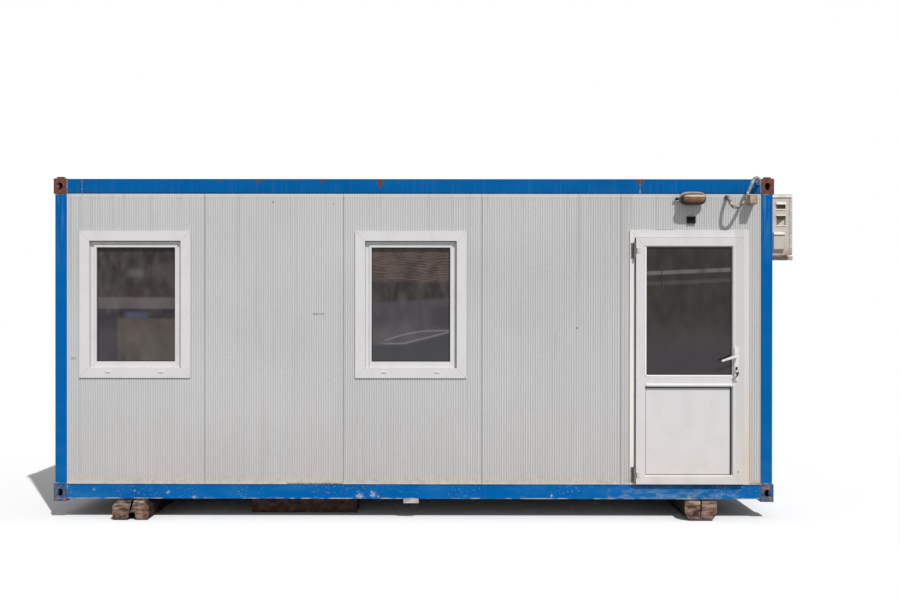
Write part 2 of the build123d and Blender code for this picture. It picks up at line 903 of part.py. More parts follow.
# Cooling unit: case with a round fan well, on two brackets
unit_x0 = wall_x + unit_off_wall
unit_x1 = unit_x0 + unit_d
unit_y0 = -half_w + unit_front_y
unit_y1 = unit_y0 + unit_w
unit_z1 = roof_rail_top - unit_below_rail
unit_low_z = unit_z1 - unit_h
fan_y = unit_y0 + unit_w * fan_y_share
fan_z = unit_low_z + unit_h / 2
with BuildPart() as condenser_case:
    slab(unit_x0, unit_x1, unit_y0, unit_y1, unit_low_z, unit_z1)
    fillet(condenser_case.edges().filter_by(Axis.Y), unit_edge_r)
    for drop, height in recesses:
        slab(
            unit_x0 + recess_in,
            unit_x0 + recess_in + recess_w,
            unit_y0,
            unit_y0 + recess_d,
            unit_z1 - drop - height,
            unit_z1 - drop,
            Mode.SUBTRACT,
        )
    with BuildSketch(end_plane(unit_x1)):
        with Locations((fan_y, fan_z)):
            Circle(fan_r)
    extrude(amount=-fan_well, mode=Mode.SUBTRACT)
save(condenser_case, "condenser_case")

# Fan on its motor shaft at the back of the well
with BuildPart() as condenser_fan:
    with BuildSketch(end_plane(unit_x1 - fan_well)):
        with Locations((fan_y, fan_z)):
            Circle(fan_hub_r / 2)
    extrude(amount=fan_well - fan_hub_l)
    with BuildSketch(end_plane(unit_x1 - fan_well + fan_hub_l / 2)):
        with Locations((fan_y, fan_z)):
            Circle(fan_hub_r)
    extrude(amount=fan_hub_l)
    blade_r = fan_r - fan_tip_gap
    pitch = math.radians(fan_blade_pitch)
    blade_x = unit_x1 - fan_well + fan_hub_l
    for i in range(fan_blades):
        turn = math.tau * i / fan_blades
        out = Vector(0, math.cos(turn), math.sin(turn))
        side = Vector(0, -math.sin(turn), math.cos(turn))
        face = Vector(math.cos(pitch), 0, 0) + side * math.sin(pitch)
        with BuildSketch(Plane((blade_x, fan_y, fan_z), x_dir=out, z_dir=face)):
            with BuildLine():
                Line((fan_hub_r / 2, -fan_hub_l / 3), (fan_hub_r / 2, fan_hub_l / 3))
                ThreePointArc(
                    (fan_hub_r / 2, fan_hub_l / 3),
                    (blade_r * 0.6, fan_hub_l * 0.9),
                    (blade_r * 0.88, fan_hub_l * 0.8),
                )
                ThreePointArc(
                    (blade_r * 0.88, fan_hub_l * 0.8),
                    (blade_r * 0.98, 0),
                    (blade_r * 0.8, -fan_hub_l),
                )
                Line((blade_r * 0.8, -fan_hub_l), (fan_hub_r / 2, -fan_hub_l / 3))
            make_face()
        extrude(amount=fan_blade_t / 2, both=True)
save(condenser_fan, "condenser_fan")

# Guard: flat rings and bars welded over the fan well
with BuildPart() as condenser_guard:
    with BuildSketch(end_plane(unit_x1)):
        with Locations((fan_y, fan_z)):
            for i in range(guard_rings + 1):
                ring_r = (fan_r + 2 * guard_bar_w) * (i + 1) / (guard_rings + 1)
                Circle(ring_r)
                Circle(ring_r - guard_bar_w, mode=Mode.SUBTRACT)
            with PolarLocations(fan_r / 2 + guard_bar_w, guard_bars):
                Rectangle(fan_r, guard_bar_w)
    extrude(amount=guard_t)
save(condenser_guard, "condenser_guard")

with BuildPart() as condenser_cover:
    slab(
        unit_x0 + cover_in,
        unit_x0 + cover_in + cover_w,
        unit_y0 - cover_t,
        unit_y0,
        unit_low_z + cover_lift,
        unit_low_z + cover_lift + cover_h,
    )
save(condenser_cover, "condenser_cover")

# Wall brackets: an upright leg, an angle arm under the case and a short brace between them
arm_top = unit_low_z - foot_h
with BuildPart() as condenser_brackets:
    for y in (unit_y0 + bracket_inset, unit_y1 - bracket_inset):
        y0 = y - bracket_w / 2
        slab(wall_x, wall_x + bracket_t, y0, y0 + bracket_w, arm_top - bracket_drop, arm_top)
        slab(wall_x, wall_x + bracket_arm, y0, y0 + bracket_w, arm_top - bracket_t, arm_top)
        slab(wall_x, wall_x + bracket_arm, y0, y0 + bracket_t, arm_top - bracket_w, arm_top)
        with BuildSketch(front_plane(y0 + bracket_t)):
            with BuildLine():
                Polyline(
                    (wall_x + bracket_t, arm_top - bracket_drop),
                    (wall_x + bracket_t, arm_top - bracket_drop + bracket_w),
                    (wall_x + bracket_brace - bracket_w, arm_top - bracket_w / 2),
                    (wall_x + bracket_brace, arm_top - bracket_w / 2),
                    close=True,
                )
            make_face()
        extrude(amount=bracket_t)
        for x in (unit_x0 + bracket_w, unit_x1 - bracket_w):
            slab(x - foot_r, x + foot_r, y - foot_r, y + foot_r, arm_top, unit_low_z)
save(condenser_brackets, "condenser_brackets")

# Short refrigerant pipes from the case into the wall
with BuildPart() as condenser_pipes:
    for i in (0, 1):
        with BuildSketch(end_plane(wall_x)):
            with Locations((unit_y0 + bracket_inset + bracket_w, unit_z1 - bracket_inset - i * pipe_pitch)):
                RegularPolygon(pipe_r, pipe_sides)
        extrude(amount=unit_off_wall)
save(condenser_pipes, "condenser_pipes")

# Timber supports: sleepers across both ends, a packer under the joists and a pad at the front
sleeper_x = (-half_l + sleeper_from_end[0], half_l - sleeper_from_end[1])
with BuildPart() as sleepers:
    for x, width, high, low in zip(sleeper_x, sleeper_w, sleeper_top_edge, sleeper_low_edge):
        with BuildSketch(front_plane(sleeper_length / 2)):
            with BuildLine():
                Polyline(
                    (x - width / 2 + low, -ground_drop),
                    (x - width / 2, -ground_drop + low),
                    (x - width / 2, bottom_rail_z - high),
                    (x - width / 2 + high, bottom_rail_z),
                    (x + width / 2 - high, bottom_rail_z),
                    (x + width / 2, bottom_rail_z - high),
                    (x + width / 2, -ground_drop + low),
                    (x + width / 2 - low, -ground_drop),
                    close=True,
                )
            make_face()
        extrude(amount=sleeper_length)
    slab(
        -half_l + notch_from_end - notch_w / 2,
        -half_l + notch_from_end + notch_w / 2,
        -sleeper_length / 2,
        -sleeper_length / 2 + notch_d,
        -ground_drop,
        -ground_drop + notch_h,
        Mode.SUBTRACT,
    )
save(sleepers, "sleepers")

with BuildPart() as middle_packer:
    packer_y0 = -half_w + packer_back
    slab(
        packer_x - packer_length / 2,
        packer_x + packer_length / 2,
        packer_y0,
        packer_y0 + packer_w,
        -ground_drop,
        joist_z,
    )
save(middle_packer, "middle_packer")

with BuildPart() as rail_pad:
    slab(
        pad_x - pad_length / 2,
        pad_x + pad_length / 2,
        -frame_y,
        -frame_y + pad_w,
        bottom_rail_z - pad_drop,
        bottom_rail_z,
    )
save(rail_pad, "rail_pad")
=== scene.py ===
import math

import bmesh
import bpy
from mathutils import Matrix, Vector
from mathutils import noise as shape_noise


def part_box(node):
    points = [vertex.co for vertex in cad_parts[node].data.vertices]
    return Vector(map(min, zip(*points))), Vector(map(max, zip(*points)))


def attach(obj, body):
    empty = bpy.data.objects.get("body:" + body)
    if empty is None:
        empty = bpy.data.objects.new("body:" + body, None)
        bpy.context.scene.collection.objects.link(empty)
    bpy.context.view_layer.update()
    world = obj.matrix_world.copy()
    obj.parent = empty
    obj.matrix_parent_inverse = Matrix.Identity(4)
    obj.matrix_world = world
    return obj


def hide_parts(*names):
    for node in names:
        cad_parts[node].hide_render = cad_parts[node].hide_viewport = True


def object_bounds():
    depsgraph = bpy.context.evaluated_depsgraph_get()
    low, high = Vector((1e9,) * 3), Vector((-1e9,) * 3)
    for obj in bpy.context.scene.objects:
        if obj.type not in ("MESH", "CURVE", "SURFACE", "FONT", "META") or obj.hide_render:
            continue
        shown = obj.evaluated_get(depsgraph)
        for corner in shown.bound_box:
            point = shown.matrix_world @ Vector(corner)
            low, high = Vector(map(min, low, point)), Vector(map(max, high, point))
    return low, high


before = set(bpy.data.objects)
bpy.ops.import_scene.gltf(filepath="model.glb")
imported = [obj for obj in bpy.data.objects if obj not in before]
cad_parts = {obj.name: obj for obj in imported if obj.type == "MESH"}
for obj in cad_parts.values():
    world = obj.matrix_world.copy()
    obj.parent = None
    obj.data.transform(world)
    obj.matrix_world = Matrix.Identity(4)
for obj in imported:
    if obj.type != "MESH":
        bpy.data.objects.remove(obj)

cad_low, cad_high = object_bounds()
scene = bpy.context.scene
scene.view_settings.view_transform = "Standard"

# The camera stands about eight metres in front of the long side, a little right of its middle and
# at eye height, nearly level, as the photographer did.
image_width_px = 900
focal_px = 982.9
centre_drop_px = 5.42
camera_data = bpy.data.cameras.new("camera")
camera_data.sensor_width = 36
camera_data.lens = focal_px / image_width_px * camera_data.sensor_width
camera_data.shift_y = centre_drop_px / image_width_px
camera_data.clip_end = 200
camera = bpy.data.objects.new("camera", camera_data)
camera.matrix_world = (
    Matrix.Translation((0.324, -9.382, 1.656)) @ Matrix.Rotation(math.radians(0.145), 4, "Z")
    @ Matrix.Rotation(math.radians(90 - 0.179), 4, "X") @ Matrix.Rotation(math.radians(0.053), 4, "Z")
)
scene.collection.objects.link(camera)
scene.camera = camera

# The cabin rests on two baulks of old railway timber, one near each end. They have weathered to a
# greyish brown and split along the grain from drying, and the left one has a notch cut in its end.
shader_tree = None


def srgb(red, green, blue):
    """A colour in 0 to 255, as Blender's linear values."""
    linear = []
    for value in (red, green, blue):
        share = value / 255
        linear.append(share / 12.92 if share <= 0.04045 else ((share + 0.055) / 1.055) ** 2.4)
    return (*linear, 1)


def new_material(name, colour, roughness, metallic=0, specular=0.5):
    """Starts a material."""
    global shader_tree
    material = bpy.data.materials.new(name)
    material.use_nodes = True
    material.diffuse_color = srgb(*colour)
    shader_tree = material.node_tree
    inputs = shader_tree.nodes["Principled BSDF"].inputs
    inputs["Base Color"].default_value = srgb(*colour)
    inputs["Roughness"].default_value = roughness
    inputs["Metallic"].default_value = metallic
    inputs["Specular IOR Level"].default_value = specular
    return material


def node(kind, inputs=None, **settings):
    """The outputs of a new shader node. Its inputs are values or sockets to link from."""
    made = shader_tree.nodes.new(kind)
    for name, value in settings.items():
        setattr(made, name, value)
    for key, value in (inputs or {}).items():
        if isinstance(value, bpy.types.NodeSocket):
            shader_tree.links.new(value, made.inputs[key])
        else:
            made.inputs[key].default_value = value
    return made.outputs


def place():
    """The object's own coordinates, in metres."""
    return node("ShaderNodeTexCoord")["Object"]


def axis_of(axis):
    """One of the object's coordinates, X, Y or Z."""
    return node("ShaderNodeSeparateXYZ", {"Vector": place()})[axis]


def noise(scale, detail=3, stretch=(1, 1, 1), shift=(0, 0, 0)):
    """Smooth noise over the object's own coordinates, stretched and shifted."""
    mapped = node("ShaderNodeMapping", {"Vector": place(), "Scale": stretch, "Location": shift})
    return node("ShaderNodeTexNoise", {"Vector": mapped["Vector"], "Scale": scale, "Detail": detail})["Fac"]


def ramp(factor, low, high, from_value=0, to_value=1):
    """Maps low..high of a factor to from_value..to_value, held beyond both."""
    inputs = {"Value": factor, "From Min": low, "From Max": high, "To Min": from_value, "To Max": to_value}
    return node("ShaderNodeMapRange", inputs)["Result"]


def calculate(operation, first, second=0):
    """One operation on two values or sockets."""
    return node("ShaderNodeMath", {0: first, 1: second}, operation=operation)["Value"]


def plus(first, second):
    """The sum of two values or sockets."""
    return calculate("ADD", first, second)


def minus(first, second):
    """The difference of two values or sockets."""
    return calculate("SUBTRACT", first, second)


def absolute(value):
    """A socket without its sign."""
    return calculate("ABSOLUTE", value)


def product(*factors):
    """Several factors multiplied."""
    total = factors[0]
    for factor in factors[1:]:
        total = calculate("MULTIPLY", total, factor)
    return total


def layers(base, *coats):
    """A base colour under coats that are each a share and a colour. Tuples are colours in 0 to 255."""
    for share, coat in coats:
        base, coat = (srgb(*c) if isinstance(c, tuple) else c for c in (base, coat))
        base = node("ShaderNodeMix", {"Factor": share, 6: base, 7: coat}, data_type="RGBA")[2]
    return base


def finish(base=None, *coats, roughness=None, bump=None, strength=0.3, distance=0.002):
    """Links the colour, as layers() makes it, the roughness and the bump height to the shader."""
    colour = layers(base, *coats)
    if bump:
        bump = node(
            "ShaderNodeBump", {"Height": bump, "Strength": strength, "Distance": distance}
        )["Normal"]
    inputs = shader_tree.nodes["Principled BSDF"].inputs
    for socket, name in ((colour, "Base Color"), (roughness, "Roughness"), (bump, "Normal")):
        if socket:
            shader_tree.links.new(socket, inputs[name])


def to_mesh(name, shape):
    """Several meshes as one, or a bmesh closed into a mesh with its faces outwards."""
    whole = shape
    if isinstance(shape, list):
        whole = bmesh.new()
        for part in shape:
            whole.from_mesh(part)
    else:
        bmesh.ops.recalc_face_normals(whole, faces=whole.faces)
    data = bpy.data.meshes.new(name)
    whole.to_mesh(data)
    whole.free()
    return data


def mesh_object(name, shape, material, body="cabin", smooth=False):
    """A finished mesh at the origin that rides on a body."""
    data = to_mesh(name, shape)
    data.materials.append(material)
    if smooth:
        data.shade_smooth()
    made = bpy.data.objects.new(name, data)
    scene.collection.objects.link(made)
    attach(made, body)
    return made


def loft(mesh, rows, capped=True, joined=False):
    """Skins rows of points: a tube capped at its ends, an open one, or one joined into a ring."""
    loops = [[mesh.verts.new(point) for point in row] for row in rows]
    for first, second in zip(loops, loops[1:] + loops[:1] if joined else loops[1:]):
        for j, k in zip(range(len(first)), [*range(1, len(first)), 0]):
            mesh.faces.new((first[j], first[k], second[k], second[j]))
    if capped and not joined:
        mesh.faces.new(loops[0])
        mesh.faces.new(loops[-1][::-1])
    return loops


def timber_material(name, heart, tones, ring_width, under_cabin_shade=0, edge_share=0):
    """Old timber: rings round a heart along Y, weathered patches, cracks, pale streaks, and painted shade
    where it runs in under the cabin.
    """
    dark, base, bleach, crack, pale = tones
    material = new_material(name, base, 0.85, specular=0.2)
    from_x = minus(absolute(axis_of("X")), heart[0])
    from_z = minus(axis_of("Z"), heart[1])
    squares = plus(product(from_x, from_x), product(from_z, from_z))
    warp = product(noise(5, 3, (1, 0.25, 1)), 0.05)
    warped = plus(calculate("SQRT", squares), warp)
    rings = calculate("SINE", product(warped, math.tau / ring_width))
    grain = noise(56, 7, (0.5, 0.06, 1.3))
    streaks = noise(26, 7, (0.45, 0.05, 2.2), (0, 0, 5))
    pale_share = product(ramp(axis_of("Z"), -0.10, 0.012, 0, edge_share), ramp(streaks, 0.52, 0.60))
    depth = absolute(axis_of("Y"))
    finish(
        base,
        (ramp(rings, -0.6, 0.9, 0, 0.45), dark),
        (ramp(grain, 0.42, 0.7, 0, 0.8), dark),
        (ramp(noise(18, 8, (0.8, 0.3, 1.4)), 0.42, 0.66, 0, 0.75), bleach),
        (ramp(noise(22, 9, (0.7, 0.05, 1.7), (3, 0, 1)), 0.46, 0.36, 0, 0.75), crack),
        (pale_share, pale),
        # painted shade on the timber where it runs in under the cabin
        (ramp(depth, 1.299, 1.286, 0, under_cabin_shade), (22, 16, 14)),
        bump=grain,
        strength=0.9,
        distance=0.005
    )
    return material


timber = timber_material(
    "timber", (2.348, -0.06), ((58, 40, 33), (109, 83, 73), (160, 134, 121), (44, 28, 26), (196, 168, 146)),
    0.017, 0.85, 0.7
)
ground_z = cad_low[2]
sleeper_low, sleeper_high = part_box("sleepers")
sleeper_end = sleeper_low[1]
sleeper_top = sleeper_high[2]
notch_depth = 0.170
notch = (-2.350, -2.280, 0.064)


def sleeper_outline(centre, width, high, low, split, cut=None):
    """The section of one baulk: chamfered corners, a drying split from the top and a notch."""
    split_x, split_low_x, split_depth, split_width = split
    left, right = centre - width / 2, centre + width / 2
    split_floor = sleeper_top - split_depth
    points = [
        (left + low, ground_z), (left + low * 0.25, ground_z + low), (left, ground_z + low * 1.7),
        (left, sleeper_top - high), (left + high, sleeper_top), (split_x - split_width / 2, sleeper_top),
        (split_low_x - split_width * 0.22, split_floor), (split_low_x + split_width * 0.22, split_floor),
        (split_x + split_width / 2, sleeper_top), (right - high, sleeper_top), (right, sleeper_top - high),
        (right, ground_z + low * 1.7), (right - low * 0.25, ground_z + low), (right - low, ground_z)
    ]
    if cut:
        x0, x1, height = cut
        roof = ground_z + height
        points += [(x1, ground_z), (x1 - 0.012, roof), (x0 + 0.008, roof), (x0, ground_z)]
    return points


def baulk(mesh, outline, y0, y1, steps):
    """A timber with this section between two depths, slightly uneven along its length."""
    middle = Vector((sum(x for x, z in outline) / len(outline), 0, (ground_z + sleeper_top) / 2))
    rows = []
    for i in range(steps + 1):
        y = y0 + (y1 - y0) * i / steps
        row = []
        for x, z in outline:
            point = Vector((x, y, z))
            shrink = 0.012 * (1 + shape_noise.noise(point * 6))
            inward = (Vector((middle.x, y, middle.z)) - point) * shrink
            row.append(point + inward)
        rows.append(row)
    loft(mesh, rows)


sleeper_mesh = bmesh.new()
left_baulk = (-2.328, 0.301, 0.045, 0.014, (-2.308, -2.332, 0.094, 0.020))
right_baulk = (2.369, 0.265, 0.008, 0.042, (2.371, 2.366, 0.140, 0.013))
notch_end = sleeper_end + notch_depth
baulk(sleeper_mesh, sleeper_outline(*left_baulk, notch), sleeper_end, notch_end, 3)
baulk(sleeper_mesh, sleeper_outline(*left_baulk), notch_end, -sleeper_end, 24)
baulk(sleeper_mesh, sleeper_outline(*right_baulk), sleeper_end, -sleeper_end, 26)
bmesh.ops.triangulate(sleeper_mesh, faces=[f for f in sleeper_mesh.faces if len(f.verts) > 4])
old_sleepers = mesh_object("old_sleepers", sleeper_mesh, timber)
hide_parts("sleepers")

# Two smaller packings take the sag between them: a dark wet beam under the joists and a pale
# sawn block pushed in under the front rail.
dark_timber = timber_material(
    "dark_timber", (0.94, -0.05), ((62, 44, 38), (98, 70, 60), (124, 96, 82), (48, 34, 30), (124, 96, 82)),
    0.012
)


def assign(names, material, soft=0):
    """Gives these CAD nodes one material, and rounds their sharp edges so that they catch the light."""
    for name in names:
        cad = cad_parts[name]
        cad.data.materials.clear()
        cad.data.materials.append(material)
        if soft:
            bevel = cad.modifiers.new("soft edges", "BEVEL")
            bevel.width = soft
            bevel.segments = 2
            bevel.limit_method = "ANGLE"
            bevel.angle_limit = math.radians(50)
            bevel.harden_normals = True
            cad.data.shade_smooth()


assign(["middle_packer"], dark_timber, 0.004)
pale_block = timber_material(
    "pale_block", (0.02, 0.03),
    ((160, 148, 138), (196, 184, 174), (210, 200, 192), (150, 138, 128), (210, 200, 192)), 0.009
)
assign(["rail_pad"], pale_block, 0.003)

# Posts and rails are folded from steel plate, welded together and painted with blue enamel. Boots and
# mud have scuffed the bottom rail, its lower edge is worn pale, and rust starts along the top rail.
blue_paint = new_material("blue_paint", (0, 90, 156), 0.45, specular=0.04)
blue_height = axis_of("Z")
blue_along = axis_of("X")


def band(value, low, high, soft):
    """A factor of 1 between low and high that fades out over soft on both sides."""
    return product(ramp(value, low - soft, low), ramp(value, high + soft, high))


rail_low_z, rail_top_z = (corner[2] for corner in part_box("long_bottom_rails"))
faded = product(
    ramp(noise(5, 5, (0.5, 1, 1.6), (2, 0, 0)), 0.42, 0.75),
    ramp(blue_height, rail_top_z + 0.5, rail_top_z, 0.15, 0.6)
)
bright_share = calculate(
    "MAXIMUM", ramp(blue_height, rail_top_z + 0.3, rail_top_z, 0, 0.8),
    ramp(absolute(blue_along), 2.86, 2.90, 0, 0.8)
)
top_rail_low, top_rail_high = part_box("long_top_rails")
front_face_y, roof_rail_z = top_rail_low.yz
fold_shade = plus(
    product(band(blue_height, roof_rail_z, roof_rail_z + 0.007, 0.006), 0.75),
    product(band(blue_height, rail_top_z - 0.010, rail_top_z, 0.008), 0.45)
)
scuff_noise = noise(20, 12, (0.6, 1, 1.6))
scuffs = product(
    ramp(plus(scuff_noise, product(band(blue_along, 1.85, 2.60, 0.35), 0.21)), 0.60, 0.80),
    ramp(blue_height, rail_top_z + 0.02, rail_low_z + 0.03),
    ramp(noise(90, 4, (0.5, 1, 1.2)), 0.35, 0.6, 0.2, 0.65)
)
post_streaks = product(
    ramp(noise(9, 4, (7, 7, 0.3)), 0.5, 0.75), band(blue_height, 2.25, 2.54, 0.3),
    ramp(absolute(blue_along), 2.86, 2.90, 0.12, 0.55)
)
worn_edge = product(
    ramp(blue_height, rail_low_z + 0.010, rail_low_z + 0.003), ramp(noise(34, 5, (0.3, 1, 1)), 0.48, 0.62)
)
fleck_noise = noise(84, 8, (0.7, 1, 1.1))
flecks = product(
    ramp(fleck_noise, 0.60, 0.72), ramp(noise(3.1, 3, (1, 1, 1), (5, 0, 0)), 0.48, 0.64),
    ramp(blue_height, rail_top_z + 0.10, rail_top_z, 0, 0.85)
)
chips = product(
    ramp(noise(48, 3, (1, 1, 1.3), (1, 2, 0)), 0.70, 0.73),
    ramp(noise(2.3, 2, (1, 1, 1), (3, 0, 1)), 0.54, 0.64), 0.7
)
rust_spots = (
    (-2.757, 2.668, 0.013), (-1.609, 2.668, 0.012), (-1.293, 2.668, 0.020), (-0.977, 2.672, 0.011),
    (-0.761, 2.664, 0.020), (-0.279, 2.660, 0.032), (-0.279, 2.622, 0.017), (-0.121, 2.670, 0.012),
    (1.880, 2.668, 0.034), (1.880, 2.640, 0.014)
)
bare_spots = (
    (-2.660, 0.100, 0.009), (-2.320, 0.085, 0.008), (-2.040, 0.072, 0.013), (-1.820, 0.030, 0.018),
    (-0.449, 0.046, 0.030), (-0.335, 0.060, 0.026), (-0.290, 0.040, 0.012), (1.150, 0.050, 0.012),
    (2.290, 0.034, 0.014), (2.560, 0.090, 0.007)
)
blue_layered = layers(
    (0, 88, 152),
    (ramp(noise(1.6, 4), 0.35, 0.7), (0, 96, 164)),
    (bright_share, (0, 97, 168)),
    (fold_shade, (14, 52, 84)),
    (faded, (40, 116, 176)),
    (post_streaks, (96, 142, 184)),
    (scuffs, (132, 156, 174)),
    (worn_edge, (188, 184, 178)),
    (flecks, (186, 194, 200)),
    (chips, (96, 66, 54))
)
for spots, warp, spread, (outer, inner), share, tone in (
    (rust_spots, noise(40, 4), 1.6, (1.8, 1.35), 1, (112, 62, 46)),
    (bare_spots, fleck_noise, 5, (3.5, 2.7), 0.75, (196, 190, 190))
):
    for x, z, r in spots:
        ends = {0: place(), 1: (x, front_face_y, z)}
        away = node("ShaderNodeVectorMath", ends, operation="DISTANCE")["Value"]
        warped = plus(away, product(warp, r * spread))
        blue_layered = layers(blue_layered, (ramp(warped, r * outer, r * inner, 0, share), tone))
finish(
    blue_layered,
    roughness=ramp(scuff_noise, 0.3, 0.75, 0.4, 0.65),
    bump=noise(120, 3),
    strength=0.12,
    distance=0.001
)
assign(
    ["corner_posts", "long_bottom_rails", "end_bottom_rails", "long_top_rails", "end_top_rails"],
    blue_paint, 0.0022
)

# The weld beads are left as laid, where the rails meet the castings and where the top rail was joined
# from lengths. Paint has flaked from them, so they show rusty and pale.
weld_paint = new_material("weld_paint", (92, 98, 116), 0.6, specular=0.2)
weld_noise = noise(90, 4)
finish(
    (62, 98, 132),
    (ramp(weld_noise, 0.42, 0.6), (118, 104, 96)),
    (ramp(noise(26, 3), 0.5, 0.62), (148, 156, 166)),
    bump=weld_noise
)


def bead(mesh, start, end, out, width=0.008, height=0.0022, ripple=0.006):
    """A rippled half-round weld bead from start to end on a face that looks along out."""
    start, end, out = Vector(start), Vector(end), Vector(out)
    length = (end - start).length
    along = (end - start) / length
    across = along.cross(out)
    steps = max(2, int(length / ripple * 2))
    rows = []
    for i in range(steps + 1):
        centre = start + along * length * i / steps
        swell = 1 if i % 2 else 0.72
        row = []
        for side, rise in ((-0.5, 0), (-0.3, 0.75), (0, 1), (0.3, 0.75), (0.5, 0)):
            row.append(centre + across * side * width * swell + out * rise * height * swell)
        rows.append(row)
    loft(mesh, rows)


rail_end_x, roof_rail_top = top_rail_high.xz
post_low, post_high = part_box("corner_posts")
post_face_x = post_high[0]
post_side_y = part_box("end_top_rails")[1][1]
seam_x = (-2.757, 1.880)
weld_mesh = bmesh.new()
weld_inset = 0.004
rail_heights = ((rail_low_z, rail_top_z), (roof_rail_z, roof_rail_top))
for side in (-1, 1):
    face_y = side * abs(front_face_y)
    end_x = side * post_face_x
    out = (0, side, 0)
    for z0, z1 in rail_heights:
        for x in (-rail_end_x + weld_inset, rail_end_x - weld_inset):
            bead(weld_mesh, (x, face_y, z0), (x, face_y, z1), out)
        for y in (-post_side_y + weld_inset, post_side_y - weld_inset):
            bead(weld_mesh, (end_x, y, z0), (end_x, y, z1), (side, 0, 0))
    for x in seam_x:
        bead(weld_mesh, (x * -side, face_y, roof_rail_z), (x * -side, face_y, roof_rail_top), out, 0.011)
    for x0, x1 in ((-post_face_x, -rail_end_x), (rail_end_x, post_face_x)):
        for z in (post_low[2] + weld_inset, post_high[2] - weld_inset):
            bead(weld_mesh, (x0, face_y, z), (x1, face_y, z), out)
mesh_object("weld_beads", weld_mesh, weld_paint)

# The corner castings are heavy steel blocks with a hole in each outer face. The upper four have lost
# their paint to rust; the lower four keep it, worn brown at the edges and round the holes.
casting_paint = new_material("casting_paint", (0, 84, 150), 0.7, specular=0.2)
casting_height = axis_of("Z")
wear_level = plus(noise(22, 7), product(ramp(casting_height, 1, 1.2), 0.4))
finish(
    (24, 80, 132),
    (ramp(noise(34, 5, (1, 1, 1), (0, 4, 0)), 0.44, 0.56), (92, 96, 110)),
    (
        ramp(wear_level, 0.55, 0.62),
        layers(
            (82, 48, 44),
            (ramp(noise(60, 6), 0.35, 0.68), (132, 84, 70)),
            (ramp(casting_height, 0.3, 0.2), (134, 104, 98))
        )
    ),
    bump=noise(90, 6),
    strength=0.6,
    distance=0.003
)
assign(["corner_castings", "stop_lugs"], casting_paint, 0.004)

# Under the floor runs a row of light galvanised joists with a thin sheet on them. The roof is a
# galvanised sheet with folded ribs, sunk inside the ring of top rails.
galvanised = new_material("galvanised", (150, 152, 155), 0.45, 0.55)
roof_dirt = ramp(noise(2.4, 7, (1, 0.4, 1)), 0.45, 0.72, 0, 0.7)
finish(
    (138, 141, 145),
    (
        ramp(node("ShaderNodeTexVoronoi", {"Vector": place(), "Scale": 55})["Color"], 0.2, 0.9),
        (168, 170, 172)
    ),
    (roof_dirt, (118, 106, 92)),
    roughness=ramp(roof_dirt, 0, 0.7, 0.38, 0.75)
)
assign(["floor_joists", "underfloor_sheet", "roof_sheet"], galvanised)


def row_tree():
    """Geometry nodes: one piece repeated along a line at a fixed step."""
    tree = bpy.data.node_groups.new("row_of_pieces", "GeometryNodeTree")
    tree.interface.new_socket(name="Piece", in_out="INPUT", socket_type="NodeSocketGeometry")
    ids = {}
    for name, kind, value in (
        ("Count", "NodeSocketInt", 10), ("Start", "NodeSocketVector", (0, 0, 0)),
        ("Step", "NodeSocketVector", (0.02, 0, 0)), ("Finish", "NodeSocketMaterial", None)
    ):
        socket = tree.interface.new_socket(name=name, in_out="INPUT", socket_type=kind)
        socket.default_value = value
        ids[name] = socket.identifier
    tree.interface.new_socket(name="Row", in_out="OUTPUT", socket_type="NodeSocketGeometry")
    entry, line, spread, real, paint, leave = (
        tree.nodes.new(kind)
        for kind in (
            "NodeGroupInput", "GeometryNodeMeshLine", "GeometryNodeInstanceOnPoints",
            "GeometryNodeRealizeInstances", "GeometryNodeSetMaterial", "NodeGroupOutput"
        )
    )
    for source, output, target, socket in (
        (entry, "Count", line, "Count"), (entry, "Start", line, "Start Location"),
        (entry, "Step", line, "Offset"), (line, "Mesh", spread, "Points"),
        (entry, "Piece", spread, "Instance"), (spread, "Instances", real, "Geometry"),
        (real, "Geometry", paint, "Geometry"), (entry, "Finish", paint, "Material"),
        (paint, "Geometry", leave, "Row")
    ):
        tree.links.new(source.outputs[output], target.inputs[socket])
    return tree, ids


row_group, row_ids = row_tree()


def evaluated(holder):
    """The plain mesh that an object shows. The object goes away again."""
    scene.collection.objects.link(holder)
    bpy.context.view_layer.update()
    made = bpy.data.meshes.new_from_object(holder.evaluated_get(bpy.context.evaluated_depsgraph_get()))
    bpy.data.objects.remove(holder)
    return made


def row_of(mesh, count, start, step, material):
    """A piece repeated along a line, as one plain mesh."""
    holder = bpy.data.objects.new("holder", mesh)
    modifier = holder.modifiers.new("row", "NODES")
    modifier.node_group = row_group
    modifier[row_ids["Count"]] = count
    modifier[row_ids["Start"]] = [float(v) for v in start]
    modifier[row_ids["Step"]] = [float(v) for v in step]
    modifier[row_ids["Finish"]] = material
    return evaluated(holder)


def screw_row(material, out, radius, height, start, count=1, step=(0, 0, 0)):
    """Hexagon screw heads on washers in a row, standing on a face and looking along out."""
    mesh = bmesh.new()
    turn = Vector((0, 0, 1)).rotation_difference(Vector(out)).to_matrix().to_4x4()
    for sides, size, low, high in ((16, radius * 1.6, 0, height * 0.3), (6, radius, height * 0.3, height)):
        bmesh.ops.create_cone(
            mesh, cap_ends=True, segments=sides, radius1=size, radius2=size * 0.92, depth=high - low,
            matrix=turn @ Matrix.Translation((0, 0, (low + high) / 2))
        )
    return row_of(to_mesh("screw", mesh), count, start, step, material)


roof_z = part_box("roof_sheet")[1][2]
roof_rib_pitch = 0.575
roof_ribs = 4
roof_screw_step = 0.36
roof_screws = [
    screw_row(
        galvanised, (0, 0, 1), 0.005, 0.006, (i * roof_rib_pitch, -3 * roof_screw_step, roof_z), 7,
        (0, roof_screw_step, 0)
    )
    for i in range(-roof_ribs, roof_ribs + 1)
]
mesh_object("roof_screws", roof_screws, galvanised)

